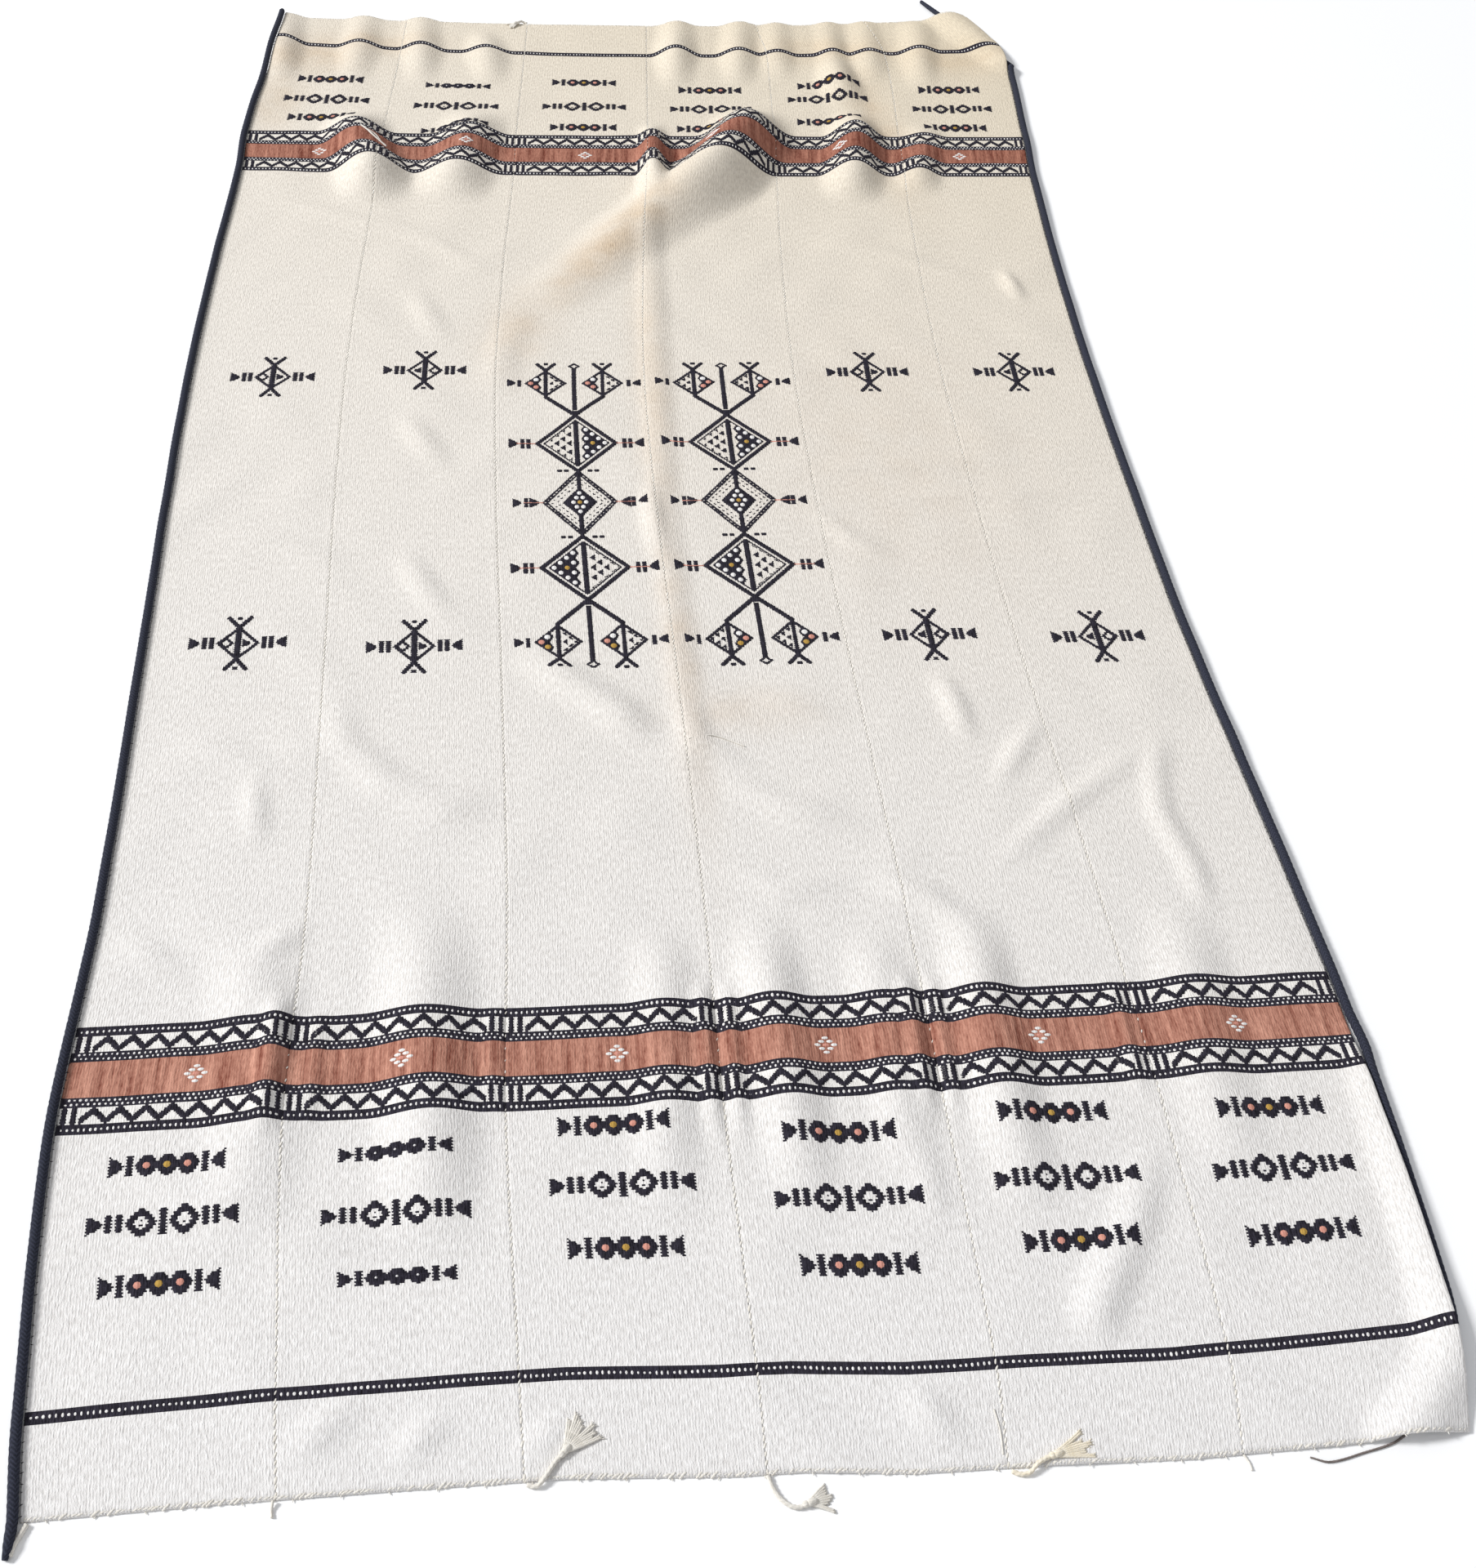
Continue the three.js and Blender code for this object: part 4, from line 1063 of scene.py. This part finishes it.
def small_diamond(s, v, end, arm, hand):
    """A small diamond on its arm, half dark and half with triangles, with a fork at its outer end."""
    at, along, wide, high = FISH
    shape = stroke(s, v, (0, end * OUTER_JOINT), (arm * at, end * along - end * high), FISH_ARM)
    s, v = s - arm * at, v - end * along
    out = lozenge(s, v, wide, high)
    shape |= ring(out, FISH_LINE) | ((np.abs(s) < FISH_BAR) & (out < 1))
    shape |= (out < FISH_DARK) & (s * hand > points_from(v, *SMALL_POINTS))
    within, beyond, first, scale = SMALL_TRIANGLES
    shape |= (out < within) & (s * hand < -beyond) & little_triangles(s, v, first, scale)
    spread, reach, half = FISH_FORK
    for fork in (-1, 1):
        shape |= stroke(s, v, (0, end * (high - 1)), (fork * spread, end * (high + reach)), half)
    shape |= box(s, v - end * (high + reach), *FISH_SPOT)
    beside = bars_past(s, v, wide, FISH_BARS) | spear_past(s, v, wide, FISH_SPEAR)
    return shape | (beside & (s * arm > 0))


def diamond_column(s, v, hand):
    """The whole column about its middle. Hand is the side of the ovals in the small diamonds."""
    shape = large_diamond(s, v, FAR_DIAMOND, 1) | large_diamond(s, v, NEAR_DIAMOND, -1)
    shape |= middle_diamond(s, v)
    for end in (-1, 1):
        shape |= bars(s, v - end * JOINT, *JOINT_BARS)
        shape |= (np.abs(s) < STEM_HALF) & (v * end > OUTER_JOINT - STEM_OVERLAP) & (v * end < STEM_END)
        past, wide, high = FINIAL
        shape |= ring(lozenge(s, v - end * (STEM_END + past), wide, high), FINIAL_LINE)
        gap_at, half_wide, half_high = STEM_GAP
        shape &= ~box(s, v * end - OUTER_JOINT - gap_at, half_wide, half_high)
        for arm in (-1, 1):
            shape |= small_diamond(s, v, end, arm, hand)
    return shape


# The white ovals in half of each large diamond: distance from the middle, then places along
OVAL_COLUMNS = ((14, (-27.6, -9.2, 9.2, 27.6)), (22.4, (-18.4, 0, 18.4)), (30.8, (-9.2, 9.2)), (39, (0,)))
OCHRE_OVAL = (22.4, 0)
LARGE_OVAL = (3.9, 4.5, 0.9)
# The middle diamond's ovals: along, and how many in the row
MIDDLE_OVAL_ROWS = ((18.5, 1), (9.3, 2), (0, 3), (-9.3, 2), (-18.5, 1))
MIDDLE_OVAL_PITCH = 8.4
MIDDLE_OVAL = (3.7, 4.3, 0.9)
# The three spots in each small diamond, and their colours by end
SPOT_PLACES = ((13, 8.5), (20.5, 0), (13, -8.5))
SPOT_TINTS = {1: (WHITE, SALMON, SALMON), -1: (WHITE, SALMON, OCHRE)}
SPOT = (4.6, 4.7, 0.9)
# The pink line through a diamond's corner: from inside it to beyond the bars
PINK_FROM = -3
PINK_TO = 24
columns = Yarns()
pink_lines = Yarns()
for number, x, y, hand in COLUMNS_OF_DIAMONDS:
    across, along = found(number, x, y)
    columns.chart(lambda s, v: diamond_column(s, v, hand), across, along, *COLUMN_CHART)
    for (middle, wide, high), oval_side in ((FAR_DIAMOND, 1), (NEAR_DIAMOND, -1)):
        for s, oval_rows in OVAL_COLUMNS:
            for v in oval_rows:
                tint = OCHRE if (s, v) == OCHRE_OVAL else WHITE
                dots.append((across + oval_side * s, along + middle + v, *LARGE_OVAL, tint))
    for side in (-1, 1):
        for middle, wide, high in (FAR_DIAMOND, MIDDLE_DIAMOND, NEAR_DIAMOND):
            start, end = sorted((side * (wide + PINK_FROM), side * (wide + PINK_TO)))
            pink_lines.run(along + middle, across + start, across + end)
    for along_shift, count in MIDDLE_OVAL_ROWS:
        for k in range(count):
            tint = OCHRE if along_shift == 0 and k == 1 else WHITE
            dots.append((across + (k - (count - 1) / 2) * MIDDLE_OVAL_PITCH,
                         along + MIDDLE_DIAMOND[0] + along_shift, *MIDDLE_OVAL, tint))
    for end in (-1, 1):
        for arm in (-1, 1):
            for (ds, dv), tint in zip(SPOT_PLACES, SPOT_TINTS[end]):
                dots.append((across + arm * FISH[0] + hand * ds, along + end * FISH[1] + dv,
                             *SPOT, tint))
columns.make("diamond_column_yarns", dark_wool)

# Madder-dyed pink wool: pale and dull, spun like the rest
pink_wool = wool("faded_pink_wool", "#dfa595", "#bd7c6c", 0.4, 0.0007)
# Weld-dyed ochre wool: a dull yellow brown
ochre_wool = wool("ochre_wool", "#c9a455", "#9c7a3c", 0.4, 0.0007)
pink_lines.make("pink_line_yarns", pink_wool)
ovals("pattern_dots", dots, [white_wool, pink_wool, ochre_wool, cream_wool], 8)


# Seam stitches
# The strips are sewn together with small slanting whip stitches of cream yarn, about 7 mm apart,
# which stand up as a fine line of beads. One bead is shaped and then copied along each seam.
SEAM_PITCH = 7.0
STITCH_LONG = 3.3
STITCH_WIDE = 1.2
STITCH_HIGH = 0.9
STITCH_TURN = 17
STITCH_PROUD = -0.25
# In the bands the stitches are pulled in and every second one is out of sight
BAND_STITCH = 0.6


def bead(segments, rings):
    """A small round bead of yarn, drawn in at its ends. Its points and faces."""
    bpy.ops.object.select_all(action="DESELECT")
    bpy.ops.mesh.primitive_uv_sphere_add(segments=segments, ring_count=rings, radius=1.0)
    ball = bpy.context.object
    bpy.ops.object.mode_set(mode="EDIT")
    bpy.ops.mesh.select_all(action="SELECT")
    bpy.ops.transform.rotate(value=math.pi / 2, orient_axis="Y", center_override=(0, 0, 0))
    bpy.ops.object.mode_set(mode="OBJECT")
    points = np.array([vertex.co[:] for vertex in ball.data.vertices])
    faces = [tuple(face.vertices) for face in ball.data.polygons]
    bpy.data.objects.remove(ball)
    return points, faces


def beads(name, shape, places, long_ways, sizes, material):
    """Copies of a bead at layout places, each with the way it points and its three half sizes."""
    points, faces = shape
    places, sizes = np.asarray(places, float), np.asarray(sizes, float)
    ways = np.asarray(long_ways, float)
    ways = ways / np.linalg.norm(ways, axis=1, keepdims=True)
    beside = np.cross([0, 0, 1.0], ways)
    beside = beside / np.linalg.norm(beside, axis=1, keepdims=True)
    upward = np.cross(ways, beside)
    made = (places[:, None] + points[None, :, 0:1] * (ways * sizes[:, 0:1])[:, None]
            + points[None, :, 1:2] * (beside * sizes[:, 1:2])[:, None]
            + points[None, :, 2:3] * (upward * sizes[:, 2:3])[:, None])
    all_faces = [tuple(corner + k * len(points) for corner in face)
                 for k in range(len(places)) for face in faces]
    flat = made.reshape(-1, 3)
    piece = cloth_object(name, flat, all_faces, [material], uv=flat[:, :2])
    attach(piece, "root")
    return piece


# Thick cream sewing yarn, softly twisted: a little warmer than the cloth
cream_yarn = wool("cream_sewing_yarn", "#f3f0ea", "#cfc8bb", 0.4, 0.0006)
small_bead = bead(6, 4)
seam_along = np.arange(3, LENGTH - 2, SEAM_PITCH)
in_bands = np.logical_or.reduce([(seam_along > low) & (seam_along < high) for low, high in BANDS])
seam_along = seam_along[~in_bands | (np.arange(len(seam_along)) % 2 == 0)]
in_bands = np.logical_or.reduce([(seam_along > low) & (seam_along < high) for low, high in BANDS])
places, ways, sizes = [], [], []
for seam in range(1, STRIPS):
    along = seam_along + chance.uniform(-0.8, 0.8, len(seam_along))
    across = np.full(len(along), float(seam * STRIP_WIDTH))
    places.append(surface(across, along, STITCH_PROUD))
    tilt = np.radians(STITCH_TURN + chance.uniform(-12, 12, len(along)))
    ahead_points = surface(across + 3 * np.sin(tilt), along + 3 * np.cos(tilt), STITCH_PROUD)
    ways.append(ahead_points - places[-1])
    size = np.tile([STITCH_LONG, STITCH_WIDE, STITCH_HIGH], (len(along), 1))
    size *= np.where(in_bands, BAND_STITCH, 1.0)[:, None]
    sizes.append(size * chance.uniform(0.7, 1.15, (len(along), 1)))
beads("seam_stitches", small_bead, np.concatenate(places), np.concatenate(ways),
      np.concatenate(sizes), cream_yarn)


# Whipped ends
# Both ends of the cloth are finished with a thick slanting overcast of cream yarn. It shows as
# lumps 8 mm long and 4.5 mm apart that stand round the edge, with short loose ends between them.
WHIP_PITCH = 4.5
WHIP_LONG = 4.0
WHIP_THICK = 1.3
WHIP_TURN = 30
WHIP_INSET = 1.6
WHIP_CORNER = 3.0
TURNED_CORNER = 12
LOOSE_END_EVERY = 9
LOOSE_END = (2.4, 0.55, 0.5)
LOOSE_END_DROP = 0.6

places, ways, sizes = [], [], []
for end_along, inward, corner in ((WHIP_INSET, 1, WHIP_CORNER), (LENGTH - WHIP_INSET, -1, TURNED_CORNER)):
    across = np.arange(WHIP_CORNER, STRIPS * STRIP_WIDTH - corner, WHIP_PITCH)
    across = across + chance.uniform(-1.0, 1.0, len(across))
    at = surface(across, np.full(len(across), end_along), -0.7)
    tilt = np.radians(WHIP_TURN + chance.uniform(-14, 14, len(across)))
    on = surface(across + 3 * np.cos(tilt), end_along + inward * 3 * np.sin(tilt), -0.5)
    places.append(at)
    ways.append(on - at)
    size = np.tile([WHIP_LONG, WHIP_THICK, WHIP_THICK], (len(across), 1))
    sizes.append(size * chance.uniform(0.65, 1.2, (len(across), 1)))
    loose = np.arange(len(across)) % LOOSE_END_EVERY == 4
    places.append(at[loose] - [0, inward * LOOSE_END[0], LOOSE_END_DROP])
    ways.append(np.stack([chance.uniform(-0.8, 0.8, loose.sum()), np.full(loose.sum(), -inward * 1.0),
                          np.zeros(loose.sum())], axis=1))
    sizes.append(np.tile(LOOSE_END, (int(loose.sum()), 1)))
beads("whipped_ends", small_bead, np.concatenate(places), np.concatenate(ways),
      np.concatenate(sizes), cream_yarn)


# Edge cords
# A dark cord of three plies, 10 mm thick, is sewn down each long side. The right one has slipped under
# the cloth near the camera and comes away at the turned corner, with its end past the far edge.
CORD_RADIUS = 5.0
CORD_STEP = 3.2
CORD_SIDES = 12
CORD_PLIES = 3
CORD_PLY_PITCH = 24.0
CORD_GROOVE = 0.14
RIGHT_CORD_FROM = 430
RIGHT_CORD_TO = 2400
# X, Y and radius of the right cord's ends, from the edge to the tip
FAR_CORD_END = ((653, 2425, 5), (634, 2464, 4.4), (600, 2530, 4.2), (566, 2596, 4.2), (543, 2640, 4),
                (530, 2668, 3.2))
NEAR_CORD_END = ((650, 395, 5), (649, 368, 4.8), (648.5, 330, 4.8), (648.3, 300, 4.8), (647, 236, 4.6),
                 (645, 168, 4.5), (641.5, 110, 4.4), (634, 80, 4.3), (622, 58, 4.2), (606, 38, 4),
                 (588, 20, 3.4), (572, 7, 2.0))
# The one ply that is left past the frayed end of the slipped cord, in the same columns
LAST_PLY_TWIST = (1.6, 8, 2, 7.0, 0.3)
LAST_PLY = ((574, 9, 1.6), (552, -5, 1.25), (520, -13, 1.1), (488, -19, 1.1), (472, -14, 0.9))


def twisted(route, step, sides, plies, pitch, deep):
    """A tube along X, Y, Z and radius, with its plies twisted round it. Its points, faces and map."""
    route = np.asarray(route, float)
    run = np.concatenate([[0], np.cumsum(np.linalg.norm(np.diff(route[:, :3], axis=0), axis=1))])
    at = np.linspace(0, run[-1], max(3, round(run[-1] / step)) + 1)
    path = through(np.column_stack([run, route]), at)[:, 1:]
    heading = np.gradient(path[:, :3], axis=0)
    heading /= np.linalg.norm(heading, axis=1, keepdims=True)
    beside = np.cross(heading, [0, 0, 1.0])
    beside /= np.linalg.norm(beside, axis=1, keepdims=True)
    upward = np.cross(beside, heading)
    turn = np.arange(sides) * 2 * math.pi / sides
    lay = plies / 2 * (turn[None, :] - 2 * math.pi * at[:, None] / pitch)
    radius = path[:, 3:4] * (1 - deep * (1 - np.abs(np.cos(lay))))
    points = (path[:, None, :3] + beside[:, None] * (radius * np.cos(turn))[..., None]
              + upward[:, None] * (radius * np.sin(turn))[..., None])
    faces = []
    for i in range(len(at) - 1):
        for k in range(sides):
            after = (k + 1) % sides
            faces.append((i * sides + k, i * sides + after,
                          (i + 1) * sides + after, (i + 1) * sides + k))
    faces.append(tuple(range(sides))[::-1])
    faces.append(tuple((len(at) - 1) * sides + k for k in range(sides)))
    girth = path[:, 3:4] * turn[None, :]
    uv = np.stack([girth, np.broadcast_to(at[:, None], girth.shape)], axis=-1)
    return points.reshape(-1, 3), faces, uv.reshape(-1, 2)


def yarn_object(name, tubes, materials, slots=None):
    """One piece from several twisted tubes."""
    points, faces, maps, which = [], [], [], []
    for number, (tube_points, tube_faces, tube_map) in enumerate(tubes):
        first = sum(len(block) for block in points)
        points.append(tube_points)
        maps.append(tube_map)
        faces += [tuple(corner + first for corner in face) for face in tube_faces]
        which += [slots[number] if slots else 0] * len(tube_faces)
    made = cloth_object(name, np.concatenate(points), faces, materials, which, np.concatenate(maps))
    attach(made, "root")
    return made


def edge_route(side, start, end):
    """The cord's middle line beside the cloth's edge, lifted with it."""
    along = np.arange(start, end + 1, 10.0)
    x, y = plan(0 if side < 0 else STRIPS * STRIP_WIDTH, along)
    return np.stack([x + side * (CORD_RADIUS + GAP), y, height(x, y) + CORD_RADIUS,
                     np.full(len(along), CORD_RADIUS)], axis=1)


# Plaited indigo wool cord: slate blue, with a fine chevron where the plies cross every 4 mm, painted as
# highlights on the plies and painted shade between them
cord_wool, cord_shader = new_material("indigo_wool_cord")
cord_map = add_node(cord_wool, "ShaderNodeUVMap").outputs["UV"]
cord_split = add_node(cord_wool, "ShaderNodeSeparateXYZ", links={"Vector": cord_map})
cord_fold = add_node(cord_wool, "ShaderNodeMath", {"operation": "PINGPONG", 1: 0.0052},
                     {0: cord_split.outputs["X"]}).outputs[0]
cord_slant = add_node(cord_wool, "ShaderNodeMath", {"operation": "ADD"},
                      {0: cord_split.outputs["Y"], 1: cord_fold}).outputs[0]
cord_wave = add_node(cord_wool, "ShaderNodeMath", {"operation": "MULTIPLY", 1: 2 * math.pi / 0.0042},
                     {0: cord_slant}).outputs[0]
cord_chevron = add_node(cord_wool, "ShaderNodeMath", {"operation": "SINE"}, {0: cord_wave}).outputs[0]
cord_fuzz = add_node(cord_wool, "ShaderNodeTexNoise", {"Scale": 1 / 0.0015, "Detail": 3.0},
                     {"Vector": cord_map}).outputs["Fac"]
cord_share = add_node(cord_wool, "ShaderNodeMath", {"operation": "MULTIPLY_ADD", 1: 0.25},
                      {0: cord_chevron, 2: cord_fuzz}).outputs[0]
# Painted highlights and painted shade of the plies: the chevron mixes a lit and a shaded slate blue
cord_mixed = add_node(cord_wool, "ShaderNodeMix",
                      {"data_type": "RGBA", 6: colour("#191b24"), 7: colour("#3d404f")},
                      {0: cord_share}).outputs[2]
cord_bump = add_node(cord_wool, "ShaderNodeBump", {"Strength": 0.8, "Distance": 0.0008},
                     {"Height": cord_share})
cord_wool.node_tree.links.new(cord_mixed, cord_shader.inputs["Base Color"])
cord_wool.node_tree.links.new(cord_bump.outputs["Normal"], cord_shader.inputs["Normal"])
cord_shader.inputs["Roughness"].default_value = 0.9
cord_shader.inputs["Specular IOR Level"].default_value = 0.2

# The left cord's tip past the near edge: X and Y from the cord's start, then height and radius
LEFT_TIP = ((-1, -30, 3.0, 2.6), (0, -18, 4.6, 4.4))
CORD_TWIST = (CORD_STEP, CORD_SIDES, CORD_PLIES, CORD_PLY_PITCH, CORD_GROOVE)
left_route = edge_route(-1, 0, LENGTH)
left_tip = np.array(LEFT_TIP) + [left_route[0, 0], left_route[0, 1], 0, 0]
left_cord = yarn_object("left_edge_cord", [twisted(np.concatenate([left_tip, left_route]), *CORD_TWIST)],
                        [cord_wool])
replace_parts(left_cord, "edge_cord_left")
near_route = np.array([(x, y, radius, radius) for x, y, radius in NEAR_CORD_END[::-1]])
far_route = np.array([(x, y, radius, radius) for x, y, radius in FAR_CORD_END])
right_route = np.concatenate([near_route, edge_route(1, RIGHT_CORD_FROM, RIGHT_CORD_TO), far_route])
# The last ply has lost its dye: grey brown
worn_wool = wool("worn_grey_wool", "#8d8480", "#5c5450", 0.4, 0.0006)
last_ply = twisted([(x, y, radius, radius) for x, y, radius in LAST_PLY], *LAST_PLY_TWIST)
right_cord = yarn_object("right_edge_cord", [twisted(right_route, *CORD_TWIST), last_ply],
                         [cord_wool, worn_wool], [0, 1])
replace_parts(right_cord, "edge_cord_right")

# The dark stitches that hold each cord, over it and about 3 mm into the selvedge
CORD_STITCH_PITCH = 9.5
CORD_STITCH = (2.1, 0.5, 0.6)
places, ways, sizes = [], [], []
for side, start, end in ((-1, 6, LENGTH - 4), (1, RIGHT_CORD_FROM, RIGHT_CORD_TO)):
    along = np.arange(start, end, CORD_STITCH_PITCH)
    along = along + chance.uniform(-2.0, 2.0, len(along))
    across = np.full(len(along), 1.0 if side < 0 else STRIPS * STRIP_WIDTH - 1.0)
    at = surface(across, along, -0.2)
    places.append(at)
    ways.append(np.stack([np.full(len(along), -1.0), chance.uniform(-0.6, 0.3, len(along)),
                          np.full(len(along), -0.05 * side)], axis=1))
    size = np.tile(CORD_STITCH, (len(along), 1))
    sizes.append(size * chance.uniform(0.6, 1.1, (len(along), 1)))
beads("cord_stitches", small_bead, np.concatenate(places), np.concatenate(ways),
      np.concatenate(sizes), dark_wool)


# Tassels and loose threads
# Where a seam's sewing ends, its yarns are twisted into a short tie that ends in a small knotted
# tassel. Here and there a seam's yarn hangs out as a short tail or lies loose on the cloth.
TIE_RADIUS = 2.2
HEAD_RADIUS = 3.4
# The two plies of a lock: their radius at the root and at the tip, and how far the roots stand up
LOCK_ROOT = 1.5
LOCK_TIP = 1.1
LOCK_RISE = 1.2
LOCK_SHORTER = 0.22
LOCK_BEND = 2.2
STRANDS = (-0.8, 0.8)
FRAYS = (-1.0, 0.0, 1.0)
# The knotted head, from the tie to the locks: distance from its middle, share of its radius
HEAD = ((-2.5, 0.6), (-1, 0.95), (1.5, 0.85), (3, 1.0), (5.5, 1.0), (8, 0.85), (9.5, 0.6))
# How each kind of yarn is twisted: step, sides, plies, pitch and depth of the groove
TIE_TWIST = (1.2, 10, 2, 9.0, 0.32)
HEAD_TWIST = (0.7, 14, 7, 11.0, 0.16)
LOCK_TWIST = (1.2, 9, 2, 6.5, 0.3)
FRAY_TWIST = (1.6, 5, 1, 6.0, 0.0)
THREAD_TWIST = (1.2, 8, 2, 6.0, 0.3)
# Name, seam, end, locks, heading of the locks, their spread, their length, what they lie on, and the
# tie's route from the seam's end
TASSELS = (
    ("tassel_near_2", 2, 0, 8, 48, 60, 31, CLOTH + GAP,
     ((2, -2.7, 2.3), (7, -4.5, 2.5), (12, -4, 3.8), (18, 3, 5.4), (26, 14, 5.4), (32, 20, 5.4))),
    ("tassel_near_3", 3, 0, 7, 16, 62, 18, 0,
     ((0, -1, 2.3), (2.5, -10, 2.3), (8, -20, 2.3), (16, -27, 2.3), (24, -29, 2.3), (30, -27, 2.3))),
    ("tassel_near_4", 4, 0, 6, 14, 34, 32, CLOTH + GAP,
     ((2, -3, 2.3), (9, -6, 2.4), (17, -5.5, 3.6), (25, 1, 5.9), (33, 5, 5.6), (39, 7, 5.6))),
    ("tassel_far_2", 2, LENGTH, 5, 215, 60, 14, CLOTH + GAP,
     ((-1, 2.7, 2.3), (-6, 5, 2.8), (-11, 4.6, 5), (-17, -3, 6))),
)
aged_yarn = wool("aged_cream_yarn", "#faf5ea", "#dccdae", 0.4, 0.0006)


def tassel_tubes(seam, seam_along, locks, turn, spread, length, ground, tie):
    """The tie, the knotted head, and locks of two plies that fray into fine strands."""
    root_x, root_y = (float(value) for value in plan(seam * STRIP_WIDTH, seam_along))
    route = [(root_x + x, root_y + y, z, TIE_RADIUS) for x, y, z in tie]
    tubes = [twisted(route, *TIE_TWIST)]
    heading = math.radians(turn)
    way = np.array([math.cos(heading), math.sin(heading), 0])
    across_way = np.array([-way[1], way[0], 0])
    knot = np.array([root_x + tie[-1][0], root_y + tie[-1][1], 0])
    head = [(*(knot + way * reach)[:2], ground + HEAD_RADIUS * share, HEAD_RADIUS * share)
            for reach, share in HEAD]
    tubes.append(twisted(head, *HEAD_TWIST))
    for i in range(locks):
        share = i / (locks - 1) - 0.5
        angle = heading + math.radians(spread) * share
        reach = length * (1 - LOCK_SHORTER * ((i * 5) % 3) / 2)
        out = np.array([math.cos(angle), math.sin(angle), 0])
        root = knot + way * 5 + across_way * share * 3.4
        bend = chance.uniform(-LOCK_BEND, LOCK_BEND)
        for strand in STRANDS:
            line = []
            for part in np.linspace(0, 1, 6):
                radius = LOCK_ROOT + (LOCK_TIP - LOCK_ROOT) * part
                aside = bend * part**2 + strand * (0.8 + 0.4 * part)
                place = root + out * reach * part + across_way * aside
                line.append((*place[:2], ground + radius + (1 - part) * LOCK_RISE, radius))
            tubes.append(twisted(line, *LOCK_TWIST))
        tip = root + out * reach * 0.86 + across_way * bend * 0.74
        for fray in FRAYS:
            loose = [(*(tip + (out + across_way * fray * 0.45) * step)[:2], ground + 0.9, 0.42)
                     for step in (0, reach * 0.12, reach * 0.2)]
            tubes.append(twisted(loose, *FRAY_TWIST))
    return tubes


for name, seam, seam_along, locks, turn, spread, length, ground, tie in TASSELS:
    tubes = tassel_tubes(seam, seam_along, locks, turn, spread, length, ground, tie)
    yarn = aged_yarn if name == "tassel_near_4" else cream_yarn
    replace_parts(yarn_object(f"{name}_yarns", tubes, [yarn]), name)

# Loose threads, by X and Y on the cloth or on the floor beyond its edge, with their radius
THREADS = (
    # Tuft on the far band
    (((-450, 2154), (-440, 2144), (-431, 2132), (-410, 2115)), 1.6),
    # Second yarn of the tuft
    (((-446, 2150), (-428, 2140), (-418, 2122)), 1.2),
    # Thread by the middle seam
    (((-12, 841), (14, 848), (34, 842), (52, 832)), 0.8),
    # Thread on the fourth seam
    (((204, 44), (206, 24), (205, 4)), 0.7),
    # Tail of the first seam
    (((-408, 3), (-409, -4), (-408, -10)), 1.5),
    # Tail of the fifth seam
    (((414, -8), (417, -15), (418, -22)), 1.1),
    # Tail at the near left corner
    (((-604, -3), (-608, -12), (-612, -21), (-613, -28)), 2.4),
)
tubes = []
for line, radius in THREADS:
    x, y = np.array(line, float).T
    top = np.where(y > 0, height(x, y) + depth(x, y), 0)
    tubes.append(twisted(np.stack([x, y, top + radius, np.full(len(x), radius)], axis=1),
                         *THREAD_TWIST))
yarn_object("loose_threads", tubes, [cream_yarn])
